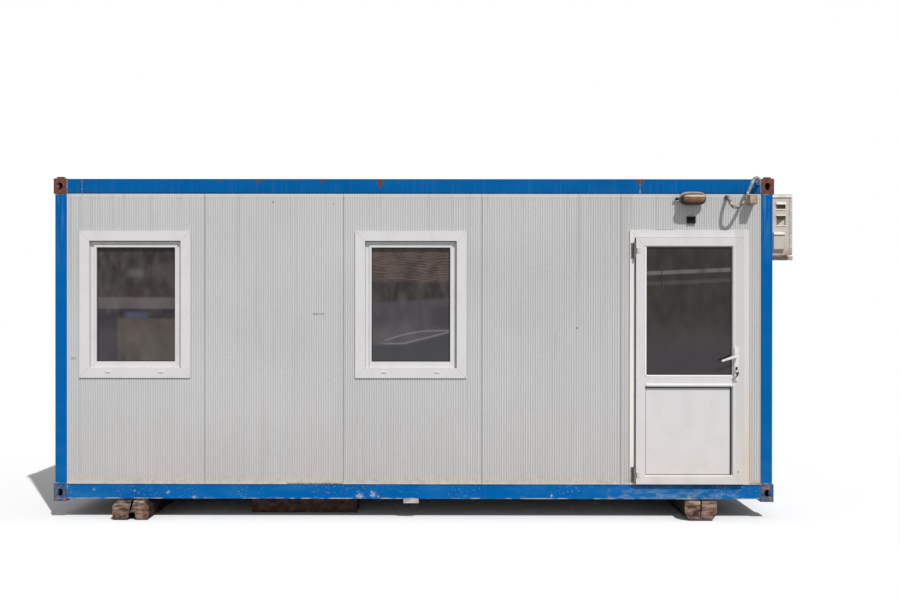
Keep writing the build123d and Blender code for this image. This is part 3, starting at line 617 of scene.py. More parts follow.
# The floor is sealed board on the joists, and the ceiling and the covers over the posts are white
# lining sheet.
deck_board = new_material("deck_board", (120, 112, 104), 0.55, specular=0.3)
finish(
    (104, 96, 88),
    (ramp(noise(3, 6, (1, 0.3, 1)), 0.35, 0.7), (136, 128, 118)),
    (ramp(calculate("PINGPONG", plus(axis_of("X"), 12), 0.61), 0.006, 0), (50, 44, 40)),
    bump=noise(40, 4, (1, 0.1, 1)),
    strength=0.15
)
assign(["floor_deck"], deck_board)
lining = new_material("lining", (222, 222, 220), 0.6, specular=0.3)
finish(
    (226, 226, 224),
    (ramp(noise(1.3, 5), 0.35, 0.75), (208, 206, 200)),
    (ramp(calculate("PINGPONG", plus(axis_of("X"), 12), 0.30), 0.004, 0), (150, 148, 144))
)
assign(["ceiling", "corner_covers"], lining)

# The walls are foam panels between two painted steel skins, about 1150 wide and joined on edge. The
# skin is rolled into small upright ribs at 20 mm, and rain has washed dirt down to the foot.
wall_face = -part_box("plain_front_panels")[0][1]
end_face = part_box("right_end_panels")[1][0]
wall_paint = new_material("wall_paint", (198, 196, 195), 0.55, specular=0.2)
wall_height = axis_of("Z")
wall_along = axis_of("X")
off_face = calculate(
    "MAXIMUM", minus(absolute(axis_of("Y")), wall_face), minus(absolute(wall_along), end_face)
)
wall_streak = noise(6, 5, (3, 3, 0.12))
wall_low = ramp(wall_height, 1, 0.16)
wall_dirt = product(wall_low, ramp(wall_streak, 0.3, 0.75, 0.05, 0.4))
wall_runs = product(
    ramp(noise(10, 4, (2.5, 2.5, 0.05), (1, 0, 0)), 0.56, 0.78), ramp(wall_height, 0.9, 2.5, 0.15, 0.5)
)
joint_x = (-1.737, -0.584, 0.569, 1.722)
joint_grime = 0
for x in joint_x:
    joint_grime = plus(joint_grime, band(wall_along, x - 0.004, x + 0.004, 0.006))
# Marks on the wall as x0, x1, z0, z1, colour and share. Two are painted shadows: the dark line over the
# door frame at z 2.2585 and the brown line at the foot from x -1.050 to -0.592.
wall_marks_and_shadows = (
    (-0.835, -0.744, 1.556, 1.560, (96, 90, 88), 0.9), (1.352, 1.366, 1.438, 1.450, (110, 96, 88), 0.9),
    (1.02, 1.05, 1.20, 1.44, (216, 212, 208), 0.2), (1.17, 1.19, 1.18, 1.40, (172, 164, 158), 0.25),
    (1.28, 1.33, 1.30, 1.46, (216, 212, 208), 0.2), (-2.850, -2.812, 1.176, 1.198, (150, 144, 140), 0.6),
    (2.800, 2.880, 0.144, 0.158, (158, 114, 84), 0.6), (2.008, 2.166, 2.2585, 2.2600, (60, 54, 52), 1),
    (-1.050, -0.592, 0.1450, 0.1500, (104, 84, 70), 0.9), (2.796, 2.804, 0.200, 0.900, (196, 184, 142), 0.5)
)
wall_marked_and_shaded = layers(
    (201, 201, 202),
    (ramp(noise(0.9, 4), 0.3, 0.75), (211, 210, 211)),
    # painted shade in the grooves between the ribs
    (ramp(off_face, 0.0022, 0.0004, 0, 0.32), (150, 146, 142)),
    (wall_dirt, (180, 170, 158)),
    (product(ramp(wall_height, 0.24, 0.15), ramp(noise(2.2, 3), 0.35, 0.6, 0.3, 1), 0.55), (216, 202, 182)),
    (product(ramp(wall_height, 0.26, 0.145), ramp(noise(30, 6), 0.4, 0.7), 0.45), (166, 154, 140)),
    (wall_runs, (168, 160, 152)),
    (product(joint_grime, ramp(wall_streak, 0.35, 0.6, 0, 0.15)), (150, 142, 134))
)
for x0, x1, z0, z1, tone, share in wall_marks_and_shadows:
    mark = product(
        band(wall_along, x0, x1, 0.004), band(wall_height, z0, z1, 0.004),
        ramp(noise(60, 3), 0.35, 0.55, 0.3, 1), share
    )
    wall_marked_and_shaded = layers(wall_marked_and_shaded, (mark, tone))
finish(wall_marked_and_shaded, roughness=ramp(wall_low, 0, 1, 0.5, 0.75))
assign(
    [
        "window_panels", "plain_front_panels", "door_bay_panels", "back_panels", "left_end_panels",
        "right_end_panels"
    ],
    wall_paint
)
rib_pitch = 0.020
rib_base = 0.0110
rib_top = 0.0070
rib_h = 0.0036


def rib_field(low, high, z0, z1, face, out):
    """Rolled ribs over one rectangle of wall: low..high along the wall, at depth face, facing out."""
    out = Vector(out)
    across = Vector((-out.y, out.x, 0))
    along = Vector((abs(out.y), abs(out.x), 0))
    rib = bmesh.new()
    section = ((-rib_base / 2, 0), (-rib_top / 2, rib_h), (rib_top / 2, rib_h), (rib_base / 2, 0))
    loft(
        rib, [[across * side + out * rise + Vector((0, 0, z)) for side, rise in section] for z in (z0, z1)]
    )
    first = math.ceil((low + rib_base / 2) / rib_pitch)
    last = math.floor((high - rib_base / 2) / rib_pitch)
    start = along * first * rib_pitch + out * face
    return row_of(to_mesh("rib", rib), last - first + 1, start, along * rib_pitch, wall_paint)


inner_x = 2.886
inner_y = 1.0745
joint_edge = 0.004
window_w = 0.926
window_h = 1.222
window_low = 1.026
window_high = window_low + window_h
window_x = (-2.3165, -0.0225)
door_frame_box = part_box("door_frame")
door_x = (door_frame_box[0][0], door_frame_box[1][0])
door_high = door_frame_box[1][2]
bay_edges = (-inner_x, *joint_x, inner_x)
front_fields = []
for bay, (low, high) in enumerate(zip(bay_edges[:-1], bay_edges[1:])):
    low += joint_edge if bay else 0
    high -= joint_edge if bay < 4 else 0
    if bay in (0, 2):
        middle = window_x[bay // 2]
        gap = (middle - window_w / 2, middle + window_w / 2, window_low, window_high)
    elif bay == 4:
        gap = (*door_x, rail_top_z, door_high)
    else:
        front_fields.append((low, high, rail_top_z, roof_rail_z))
        continue
    front_fields += [
        (low, gap[0], rail_top_z, roof_rail_z), (gap[1], high, rail_top_z, roof_rail_z),
        (gap[0], gap[1], gap[3], roof_rail_z)
    ]
    if gap[2] > rail_top_z:
        front_fields.append((gap[0], gap[1], rail_top_z, gap[2]))
back_fields = [
    (low + joint_edge, high - joint_edge, rail_top_z, roof_rail_z)
    for low, high in zip(bay_edges[:-1], bay_edges[1:])
]
end_fields = [
    (-inner_y, -joint_edge, rail_top_z, roof_rail_z), (joint_edge, inner_y, rail_top_z, roof_rail_z)
]
for name, fields, face, out in (
    ("front_wall_ribs", front_fields, wall_face, (0, -1, 0)),
    ("back_wall_ribs", back_fields, wall_face, (0, 1, 0)),
    ("left_wall_ribs", end_fields, end_face, (-1, 0, 0)),
    ("right_wall_ribs", end_fields, end_face, (1, 0, 0))
):
    rib_meshes = [rib_field(*field, face, out) for field in fields]
    mesh_object(name, rib_meshes, wall_paint)

# A flat folded strip closes the heads of the front panels under the top rail, and a narrow one
# covers their feet on the bottom rail.
head_strip_h = 0.038
strip_gap = 0.001
foot_strip_out = 0.0052
foot_strip_h = 0.007
head_strip = bmesh.new()
head_out = (0, rib_h + 0.001, rib_h * 0.8, 0)
head_down = (0, 0, head_strip_h * 0.7, head_strip_h)
head_section = [(-wall_face - out, roof_rail_z - down) for out, down in zip(head_out, head_down)]


def moulding(mesh, x0, x1, section):
    """A straight piece along X, with a section of points in Y and Z."""
    loft(mesh, [[(x, y, z) for y, z in section] for x in (x0, x1)])


def cuboid(mesh, x0, x1, y0, y1, z0, z1):
    """A plain box between these limits."""
    size = Vector((x1 - x0, y1 - y0, z1 - z0))
    middle = Vector((x0 + x1, y0 + y1, z0 + z1)) / 2
    bmesh.ops.create_cube(mesh, size=1, matrix=Matrix.Translation(middle) @ Matrix.Diagonal((*size, 1)))


for low, high in zip(bay_edges[:-1], bay_edges[1:]):
    moulding(head_strip, low + strip_gap, high - strip_gap, head_section)
for x0, x1 in ((-inner_x, door_x[0]), (door_x[1], inner_x)):
    cuboid(
        head_strip, x0, x1, -wall_face - foot_strip_out, -wall_face, rail_top_z, rail_top_z + foot_strip_h
    )
mesh_object("head_strip", head_strip, wall_paint)

# Screws with wide washers pull the panels to the posts and rails. Two show on the front at the head
# of the second panel, and the ends and the back have a row at the foot and the head.
screw_zinc = new_material("screw_zinc", (150, 146, 140), 0.4, 0.7)
finish((156, 152, 146), (ramp(noise(40, 3), 0.45, 0.6), (112, 88, 70)))
screw_size = (0.004, 0.005)
screw_from_rail = 0.050
back_screw_step = 0.060
end_screw_step = 0.485
panel_screws = [
    screw_row(screw_zinc, (0, -1, 0), *screw_size, (x, -wall_face, z))
    for x, z in ((-1.168, 2.489), (-0.661, 2.472))
]
for z in (rail_top_z + screw_from_rail, roof_rail_z - screw_from_rail):
    for x in bay_edges[1:-1]:
        start = (x - back_screw_step / 2, wall_face, z)
        panel_screws.append(
            screw_row(screw_zinc, (0, 1, 0), *screw_size, start, 2, (back_screw_step, 0, 0))
        )
    for side in (-1, 1):
        start = (side * end_face, -2 * end_screw_step, z)
        panel_screws.append(
            screw_row(screw_zinc, (side, 0, 0), *screw_size, start, 5, (0, end_screw_step, 0))
        )
mesh_object("panel_screws", panel_screws, screw_zinc)

# The two windows are white plastic profiles, cut on the mitre and welded, and fixed shut. Dark glass is
# held by white beads, black gasket shows at the glass, black gasket strips at the top and right of the sash
# stand for painted shade, and water runs out of capped slots.
upvc = new_material("white_upvc", (217, 215, 216), 0.42, specular=0.3)
upvc_height = axis_of("Z")
upvc_dirt = noise(11, 6, (1, 1, 0.5))
upvc_low = product(ramp(upvc_height, 0.45, 0.14), ramp(noise(9, 4), 0.4, 0.7), 0.3)
upvc_stain = product(
    band(axis_of("X"), 2.750, 2.790, 0.03), ramp(upvc_height, 1.3, 0.15, 0.1, 0.6),
    ramp(noise(16, 5, (1, 1, 0.2)), 0.3, 0.6, 0.4, 1)
)
# Painted light: the left jamb of the door frame is painted brighter, most at the foot.
jamb_painted_light = product(band(axis_of("X"), 1.797, 1.826, 0.003), ramp(upvc_height, 2.2, 0.6, 0.35, 1))
finish(
    (218, 216, 217),
    (ramp(upvc_dirt, 0.45, 0.8, 0, 0.5), (202, 198, 195)),
    # painted shade down the right stile of the door leaf
    (product(band(axis_of("X"), 2.668, 2.734, 0.006), 0.6), (200, 196, 196)),
    (jamb_painted_light, (244, 239, 233)),
    (ramp(upvc_height, 0.9, 0.2, 0, 0.4), (224, 214, 204)),
    (upvc_low, (184, 174, 164)),
    (upvc_stain, (206, 186, 150)),
    roughness=ramp(upvc_dirt, 0.3, 0.8, 0.35, 0.55)
)
assign(["window_frames", "window_sashes"], upvc, 0.004)
assign(["door_frame", "door_leaf", "door_lower_panel"], upvc, 0.006)

glass = new_material("dark_glass", (46, 41, 40), 0.05)
glass_height = axis_of("Z")
glass_along = axis_of("X")
glass_clouds = noise(8, 9, (1.5, 1, 0.8))


def patch(x0, x1, soft_x, z0, z1, soft_z):
    """A soft-edged rectangle on the panes."""
    return product(band(glass_along, x0, x1, soft_x), band(glass_height, z0, z1, soft_z))


at_left_window = ramp(glass_along, -1, -1.2)
at_middle_window = band(glass_along, -0.6, 0.6, 0.2)
blind_height = plus(glass_height, product(noise(4, 4, (1, 1, 0.6), (3, 0, 0)), 0.12))
blind_slats = calculate("SINE", product(blind_height, math.tau / 0.023))
# Curves of two thin bright lines painted as a reflection on the middle window; the glass below the lower
# one is darker.
low_reflected_line = plus(product(calculate("MAXIMUM", plus(glass_along, 0.09)), 0.25), 1.311)
arch = calculate("MINIMUM", minus(glass_along, 0.2))
high_reflected_line = minus(1.42, product(arch, arch, 0.44))
glass_lit = layers(
    (44, 40, 38),
    (ramp(glass_clouds, 0.36, 0.68), (60, 54, 51)),
    (ramp(glass_along, 1.2, 1), layers((44, 40, 39), (ramp(glass_clouds, 0.36, 0.64), (74, 68, 66)))),
    (
        product(
            at_left_window, ramp(glass_height, 1.56, 1.50, 0, 0.6),
            ramp(noise(2.3, 3, (1, 1, 0.4)), 0.42, 0.60)
        ),
        (88, 76, 66)
    ),
    (product(ramp(glass_height, 1.60, 1.20, 0, 0.9), ramp(glass_along, 1.3, 1.5)), (40, 35, 41)),
    (
        product(
            at_middle_window, ramp(blind_height, 1.88, 1.91), ramp(blind_slats, -0.6, 0.8, 0.22, 0.62),
            ramp(noise(22, 5, (0.6, 1, 2.2)), 0.34, 0.62, 0.35, 1)
        ),
        (116, 95, 86)
    ),
    (
        product(
            at_middle_window, ramp(minus(glass_height, product(glass_along, 0.06)), 1.69, 1.66, 0, 0.5)
        ),
        (84, 79, 88)
    ),
    (
        product(
            at_middle_window,
            calculate(
                "MAXIMUM", ramp(minus(low_reflected_line, glass_height), 0, 0.03, 0, 0.8),
                product(patch(0.17, 0.30, 0.06, 1.46, 1.60, 0.05), 0.5)
            )
        ),
        (42, 42, 46)
    )
)
# painted reflection: the two bright lines
for reflected_line in (low_reflected_line, high_reflected_line):
    line = ramp(absolute(minus(glass_height, reflected_line)), 0.009, 0.003)
    share = product(at_middle_window, line, ramp(glass_along, -0.30, -0.20, 0, 0.3))
    glass_lit = layers(glass_lit, (share, (160, 158, 160)))
# Painted reflections: a pale band across the left window and tilted bands across the door glass.
window_reflection_band = product(band(glass_height, 1.610, 1.685, 0.02), at_left_window, 0.32)
tilted = plus(glass_height, product(glass_along, -0.045))
door_reflection_band = product(
    band(tilted, 1.800, 1.822, 0.010), ramp(glass_along, 1.5, 1.7),
    ramp(noise(9, 2, (1, 1, 0.1)), 0.30, 0.55, 0.35, 1), 0.55
)
reflection_bands = plus(door_reflection_band, product(band(tilted, 1.715, 1.735, 0.012), ramp(glass_along, 1.5, 1.7), 0.15))
sill_dark = product(
    patch(-2.468, -1.98, 0.02, 1.525, 1.590, 0.012),
    ramp(noise(14, 4, (0.6, 1, 1.6)), 0.35, 0.6, 0.35, 0.85)
)
finish(
    glass_lit,
    (
        product(band(glass_along, -2.660, -2.485, 0.015), ramp(glass_height, 1.58, 1.54, 0, 0.8)),
        (44, 39, 50)
    ),
    (window_reflection_band, (132, 123, 132)),
    (reflection_bands, (128, 124, 124)),
    (sill_dark, (40, 36, 44)),
    (product(patch(-2.385, -2.245, 0.05, 1.535, 1.560, 0.03), 0.4), (84, 98, 128)),
    (product(patch(-2.375, -2.285, 0.045, 1.885, 1.915, 0.035), 0.2), (140, 136, 132)),
    (product(band(glass_along, 2.054, 2.060, 0.003), band(tilted, 1.710, 1.830, 0.01), 0.8), (40, 36, 36)),
    roughness=ramp(noise(5, 4), 0.3, 0.8, 0.04, 0.14)
)
assign(["window_glass", "door_glass"], glass)

gasket = new_material("gasket_rubber", (30, 30, 31), 0.7)
finish(bump=noise(300))
seam_grey = new_material("seam_grey", (176, 170, 164), 0.7)
finish(bump=noise(200))


def inset(x0, x1, z0, z1, by):
    """Limits drawn in on all four sides."""
    return x0 + by, x1 - by, z0 + by, z1 - by


def limits_of(name):
    """The limits of a CAD node as seen from the front."""
    low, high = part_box(name)
    return low[0], high[0], low[2], high[2]


def ring(mesh, x0, x1, z0, z1, width, y0, y1):
    """A rectangular ring, width wide inside the given edges, from depth y0 to y1."""
    rows = []
    for y, by in ((y0, 0), (y0, width), (y1, width), (y1, 0)):
        left, right, low, high = inset(x0, x1, z0, z1, by)
        rows.append([(left, y, low), (right, y, low), (right, y, high), (left, y, high)])
    loft(mesh, rows, joined=True)


def mitres(mesh, x0, x1, z0, z1, width, y, corners=4):
    """The welded corner lines of a frame, width wide, on its face at y: all four, or the upper two."""
    gap, half_line, proud = 0.003, 0.0008, 0.0003
    places = ((x0, z1, 1, -1), (x1, z1, -1, -1), (x0, z0, 1, 1), (x1, z0, -1, 1))
    for x, z, way_x, way_z in places[:corners]:
        near = Vector((x + way_x * gap, y - proud, z + way_z * gap))
        far = near + Vector((way_x, 0, way_z)) * (width - 2 * gap)
        side = Vector((-way_z, 0, way_x)).normalized() * half_line
        mesh.faces.new([mesh.verts.new(p) for p in (near - side, near + side, far + side, far - side)])


frame_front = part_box("window_frames")[0][1]
stop_y = frame_front + 0.035
frame_face = 0.082
sash_face = 0.053
gasket_w = 0.005
drain_x = (-2.540, -2.099, -0.245, 0.196)
drain_z = 1.070
slot_half, slot_h = 0.019, 0.004
cap_half, cap_h, cap_out = 0.021, 0.008, 0.004
gaskets = bmesh.new()
seams = bmesh.new()
caps = bmesh.new()
beads = bmesh.new()
glazing_bead_w = 0.018
for middle in window_x:
    outer = (middle - window_w / 2, middle + window_w / 2, window_low, window_high)
    frame_in = inset(*outer, frame_face)
    step_y = (stop_y - 0.003, stop_y)
    left, right, low, high = frame_in
    # Black gasket strips only at the top and right of the frame opening, where the frame's shade falls, a
    # grey seam at the left and none at the foot: the gasket is drawn as painted shade.
    cuboid(gaskets, left, right, *step_y, high - gasket_w, high)
    cuboid(gaskets, right - gasket_w, right, *step_y, low, high - gasket_w)
    cuboid(seams, left, left + gasket_w, *step_y, low, high - gasket_w)
    foot = low + 0.001
    left, right, low, high = inset(*frame_in, sash_face)
    ring(gaskets, left, right, low, high, gasket_w, stop_y + 0.008, stop_y + 0.015)
    bead_y = (stop_y - 0.010, stop_y + 0.002)
    bead_left, bead_right = left - glazing_bead_w, right + glazing_bead_w
    cuboid(beads, bead_left, bead_right, *bead_y, high, high + glazing_bead_w)
    cuboid(beads, bead_left, bead_right, *bead_y, foot, low)
    cuboid(beads, bead_left, left, *bead_y, low, high)
    cuboid(beads, right, bead_right, *bead_y, low, high)
    mitres(seams, *outer, frame_face, frame_front)
    mitres(seams, *frame_in, sash_face, stop_y)
    ring(seams, *outer, 0.004, -wall_face - 0.003, -wall_face)
for x in drain_x:
    slot_y = (frame_front - 0.0006, frame_front)
    cuboid(gaskets, x - slot_half, x + slot_half, *slot_y, drain_z - slot_h, drain_z)
    cap_y = (frame_front - cap_out, frame_front)
    cuboid(caps, x - cap_half, x + cap_half, *cap_y, drain_z, drain_z + cap_h)
mesh_object("window_gaskets_and_shade", gaskets, gasket)
mesh_object("window_seams", seams, seam_grey)
mesh_object("glazing_beads", beads, upvc)
mesh_object("drain_caps", caps, upvc)

# The door is made of the same profiles: a glazed upper half, a flat panel below and a rounded weather
# bead across the middle rail. The beads at the left and foot of the pane are whiter, a painted
# highlight, and an aluminium strip is the threshold.
leaf_low, leaf_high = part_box("door_leaf")
door_front = leaf_low[1]
pane_bite = 0.012
door_gaskets_and_shade = bmesh.new()
door_seams = bmesh.new()
pane_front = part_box("door_glass")[0][1]
pane = inset(*limits_of("door_glass"), pane_bite)
pane_x, pane_z = pane[:2], pane[2:]
pane_y = (pane_front - 0.007, pane_front)
# Gasket only at the top and right of the pane, where shade falls: real gasket drawn as painted shade.
cuboid(door_gaskets_and_shade, *pane_x, *pane_y, pane_z[1] - gasket_w, pane_z[1])
cuboid(door_gaskets_and_shade, pane_x[1] - gasket_w, pane_x[1], *pane_y, pane_z[0], pane_z[1] - gasket_w)
bead_highlight_white = new_material("bead_highlight_white", (252, 251, 249), 0.3)
highlit_beads = bmesh.new()
pane_depth = pane_front - door_front
lip = ((-0.009, 0), (-0.008, -0.002), (0.002, -0.001), (0.003, pane_depth), (0, pane_depth))
for upright in (True, False):
    rows = []
    for at in (0, 1):
        row = []
        for inward, back in lip:
            x = pane_x[0] + inward if upright else pane_x[at]
            z = pane_z[at] if upright else pane_z[0] + inward
            row.append((x, door_front + back, z))
        rows.append(row)
    loft(highlit_beads, rows)
mesh_object("highlit_beads", highlit_beads, bead_highlight_white, "door")
panel_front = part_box("door_lower_panel")[0][1]
seal_x0, seal_x1, seal_z0, seal_z1 = inset(*limits_of("door_lower_panel"), pane_bite)
seal_y = (panel_front - 0.005, panel_front)
# The wide dark strips at the right and head of the lower panel are painted shadow from the stile and the
# middle rail; the thin one at the foot is gasket and the left edge a grey seam.
side_shade_w, head_shade_w, seal_foot, seam_w = 0.012, 0.010, 0.002, 0.003
side_shade_in = seal_x1 - side_shade_w
cuboid(door_gaskets_and_shade, side_shade_in, seal_x1, *seal_y, seal_z0, seal_z1)
cuboid(door_gaskets_and_shade, seal_x0, side_shade_in, *seal_y, seal_z1 - head_shade_w, seal_z1)
cuboid(door_gaskets_and_shade, seal_x0, side_shade_in, *seal_y, seal_z0, seal_z0 + seal_foot)
cuboid(door_seams, seal_x0, seal_x0 + seam_w, *seal_y, seal_z0 + seal_foot, seal_z1 - head_shade_w)
mesh_object("door_gaskets_and_shade", door_gaskets_and_shade, gasket, "door")
mitres(door_seams, *limits_of("door_leaf"), 0.082, door_front)
mesh_object("door_seams", door_seams, seam_grey, "door")
frame_seams = bmesh.new()
door_frame_y = door_frame_box[0][1]
mitres(frame_seams, *limits_of("door_frame"), 0.069, door_frame_y, 2)
for x0, x1, z0, z1 in (
    (leaf_high[0] + 0.001, leaf_high[0] + 0.006, leaf_low[2], leaf_high[2] + 0.006),
    (leaf_low[0], leaf_high[0] + 0.001, leaf_high[2] + 0.001, leaf_high[2] + 0.006)
):
    cuboid(frame_seams, x0, x1, door_frame_y - 0.0006, door_frame_y, z0, z1)
mesh_object("frame_seams", frame_seams, seam_grey)

bead_z = 0.972
bead_r = 0.010
bead_turns = [math.pi * (i / 8 - 0.5) for i in range(9)]
bead_arc = [
    (door_front - bead_r * math.cos(turn), bead_z + 1.4 * bead_r * math.sin(turn)) for turn in bead_turns
]
bead_mesh = bmesh.new()
moulding(bead_mesh, 1.928, 2.640, bead_arc)
mesh_object("weather_bead", bead_mesh, upvc, "door")

door_screw = screw_row(screw_zinc, (0, -1, 0), 0.004, 0.003, (2.688, door_front, 0.254))
mesh_object("door_screw", [door_screw], screw_zinc, "door")

threshold_metal = new_material("threshold_metal", (150, 150, 152), 0.35, 0.8)
threshold_scrape = noise(20, 6, (0.2, 1, 1))
finish((156, 156, 158), (ramp(threshold_scrape, 0.4, 0.65), (112, 104, 96)), bump=threshold_scrape)
assign(["door_threshold"], threshold_metal, 0.002)

# The plates and levers are die-cast and powder-coated white, with hidden screws, and the hinges are
# grey. A key is in the nickel cylinder of the lock, with two more on its ring.
white_metal = new_material("white_metal", (214, 211, 208), 0.35)
white_wear = noise(30, 5)
finish(
    (230, 228, 226),
    (ramp(white_wear, 0.5, 0.75), (196, 190, 184)),
    roughness=ramp(white_wear, 0.3, 0.7, 0.3, 0.5)
)
assign(["handle_plates", "door_handle"], white_metal, 0.0035)
hinge_grey = new_material("hinge_grey", (120, 116, 116), 0.45, 0.3)
finish(
    (124, 120, 120),
    (ramp(noise(40, 5), 0.45, 0.7), (92, 82, 78)),
    (ramp(axis_of("X"), 1.850, 1.856), (206, 203, 201))
)
assign(["hinge_frame_halves", "hinge_door_halves"], hinge_grey, 0.003)
# A dark strip in the gap at the hinge side of the leaf: partly the seal, partly painted shade cast by the
# proud leaf.
seal = bmesh.new()
cuboid(
    seal, leaf_low[0] - 0.0065, leaf_low[0] - 0.001, door_frame_y - 0.004, door_frame_y, leaf_low[2],
    leaf_high[2]
)
mesh_object("frame_seal_and_gap_shade", seal, gasket)
nickel = new_material("nickel", (84, 77, 70), 0.3, 0.8)
finish(roughness=ramp(noise(60, 4), 0.3, 0.7, 0.2, 0.45))
assign(["lock_cylinder"], nickel)

lock_low, lock_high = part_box("lock_cylinder")
lock_x = (lock_low[0] + lock_high[0]) / 2
lock_z = 1.115
key_y = lock_low[1]
keyhole = bmesh.new()
cuboid(keyhole, lock_x - 0.0012, lock_x + 0.0012, key_y - 0.0005, key_y, lock_z - 0.006, lock_z + 0.006)
mesh_object("keyhole", keyhole, gasket, "door")
keys = bmesh.new()
key_half = 0.001
shank, bow = 0.008, 0.030
cuboid(keys, lock_x - key_half, lock_x + key_half, key_y - shank, key_y, lock_z - 0.004, lock_z + 0.004)
cuboid(
    keys, lock_x - key_half, lock_x + key_half, key_y - bow, key_y - shank, lock_z - 0.012, lock_z + 0.012
)


def wire_ring(mesh, middle, radius, wire, turns, across, lift):
    """A ring of round wire, with one axis across and the other upwards."""
    rows = []
    for i in range(turns):
        turn = math.tau * i / turns
        centre = middle + (across * math.cos(turn) + Vector((0, 0, 1)) * math.sin(turn)) * radius
        spoke = (centre - middle).normalized()
        angles = [math.tau * j / 6 for j in range(6)]
        rows.append([centre + (spoke * math.cos(a) + lift * math.sin(a)) * wire for a in angles])
    loft(mesh, rows, joined=True)


ring_r = 0.012
ring_centre = Vector((lock_x, key_y - 0.024, lock_z - 0.010 - ring_r))
wire_ring(keys, ring_centre, ring_r, 0.0012, 28, Vector((1, 0.3, 0)), Vector((0, 1, 0)))
bow_h = 0.017
for shift, length in ((-0.004, 0.040), (0.005, 0.034)):
    top = ring_centre.z - ring_r + 0.002
    x = lock_x + shift
    y = ring_centre.y + shift * 0.5
    for half, z0, z1 in ((0.010, top - bow_h, top), (0.004, top - length, top - bow_h)):
        cuboid(keys, x - half, x + half, y - key_half, y + key_half, z0, z1)
mesh_object("keys", keys, nickel, "door")

# Over the door is a bulkhead lamp: a cast back with a clamping ring, lighter along the top as a painted
# highlight, and a pressed glass bowl, stained brown inside, with painted shade over its top and a painted
# highlight band. Its cable goes in at the left end through a black gland.
lamp_metal = new_material("lamp_metal", (108, 88, 72), 0.45, 0.4)
lamp_pits = noise(50, 6)
finish(
    (76, 57, 46),
    (ramp(lamp_pits, 0.4, 0.65), (108, 90, 78)),
    # painted highlight along the top of the lamp's back
    (ramp(axis_of("Z"), 2.52, 2.56), (190, 182, 172)),
    bump=lamp_pits,
    strength=0.3
)
assign(["lamp_body"], lamp_metal, 0.003)
lens_low, lens_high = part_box("lamp_glass")
lens_middle = ((lens_low[0] + lens_high[0]) / 2, (lens_low[2] + lens_high[2]) / 2)
lens_half = ((lens_high[0] - lens_low[0]) / 2, (lens_high[2] - lens_low[2]) / 2)
lamp_lens = new_material("lamp_lens", (160, 126, 96), 0.42, specular=0.12)
lens_height = axis_of("Z")
off_middle = []
for axis, middle, half in (("X", lens_middle[0], lens_half[0]), ("Z", lens_middle[1], lens_half[1])):
    share = calculate("DIVIDE", absolute(minus(axis_of(axis), middle)), half)
    off_middle.append(product(share, share, share))


def lens_rise(share):
    """The height at this share of the way up from the middle of the lens."""
    return lens_middle[1] + share * lens_half[1]


finish(
    (150, 116, 88),
    (ramp(noise(16, 5), 0.35, 0.7), (108, 78, 58)),
    # painted shade over the top of the bowl
    (ramp(lens_height, lens_rise(0.55), lens_rise(0.75), 0, 0.8), (74, 58, 48)),
    # painted highlight band across the bowl
    (
        product(
            band(lens_height, lens_rise(0.28), lens_rise(0.42), 0.006),
            ramp(noise(9, 3, (1, 1, 3)), 0.3, 0.5, 0.3, 1)
        ),
        (206, 192, 174)
    ),
    (ramp(lens_height, 2.485, 2.468, 0, 0.7), (74, 52, 38)),
    (ramp(plus(*off_middle), 0.62, 0.84, 0, 0.75), (70, 52, 42)),
    bump=noise(40, 3),
    strength=0.15
)
lens_depth = lens_high[1] - lens_low[1]
lens_sides = 96
lens_rows = 10
lens_flutes = 24


def lens_row(spread, out, flute=0):
    """One loop round the lens, a rounded oblong that is out in front of the lamp's back."""
    row = []
    for j in range(lens_sides):
        turn = math.tau * j / lens_sides
        share = spread * (1 + flute * math.cos(turn * lens_flutes))
        across, rise = (
            math.copysign(abs(v) ** (2 / 3), v) * share for v in (math.cos(turn), math.sin(turn))
        )
        row.append((lens_middle[0] + lens_half[0] * across, lens_high[1] - out, lens_rise(rise)))
    return row


rows = []
for i in range(lens_rows):
    swing = math.pi / 2 * i / lens_rows
    out = lens_depth * math.sin(swing) ** 0.7 * 0.985
    rows.append(lens_row(0.85 + 0.11 * math.cos(swing) ** 0.5, out, 0.006 * math.sin(swing)))
lens_mesh = bmesh.new()
lens_loops = loft(lens_mesh, rows, capped=False)
lens_tip = lens_mesh.verts.new((lens_middle[0], lens_low[1], lens_middle[1]))
for j in range(lens_sides):
    lens_mesh.faces.new((lens_loops[-1][j], lens_loops[-1][(j + 1) % lens_sides], lens_tip))
lens_mesh.faces.new(lens_loops[0][::-1])
gasket_mesh = bmesh.new()
gasket_section = ((0.97, 0.001), (1, 0.001), (1, 0.006), (0.97, 0.006))
loft(gasket_mesh, [lens_row(*corner) for corner in gasket_section], joined=True)
mesh_object("lamp_gasket", gasket_mesh, gasket)
lamp_bowl = mesh_object("lamp_bowl", lens_mesh, lamp_lens, smooth=True)
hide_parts("lamp_glass")

black_plastic = new_material("black_plastic", (18, 17, 19), 0.6, specular=0.15)
finish((12, 11, 12), (ramp(noise(30, 5), 0.4, 0.7), (28, 26, 27)), bump=noise(200))
stub_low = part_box("lamp_body")[0]
stub_mesh = bmesh.new()
stub_r = 0.0115
stub_turn = Matrix.Rotation(math.pi / 2, 4, "Y")
stub_place = Matrix.Translation((stub_low[0] + 0.018, -wall_face - 0.023, lens_middle[1]))
bmesh.ops.create_cone(
    stub_mesh, cap_ends=True, segments=20, radius1=stub_r, radius2=stub_r, depth=0.020,
    matrix=stub_place @ stub_turn
)
mesh_object("lamp_gland", stub_mesh, black_plastic)
assign(["wall_box"], black_plastic, 0.004)
box_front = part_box("wall_box")[0][1]
box_lid = bmesh.new()
ring(box_lid, *inset(*limits_of("wall_box"), 0.004), 0.002, box_front - 0.0008, box_front)
mesh_object("wall_box_lid", box_lid, black_plastic)

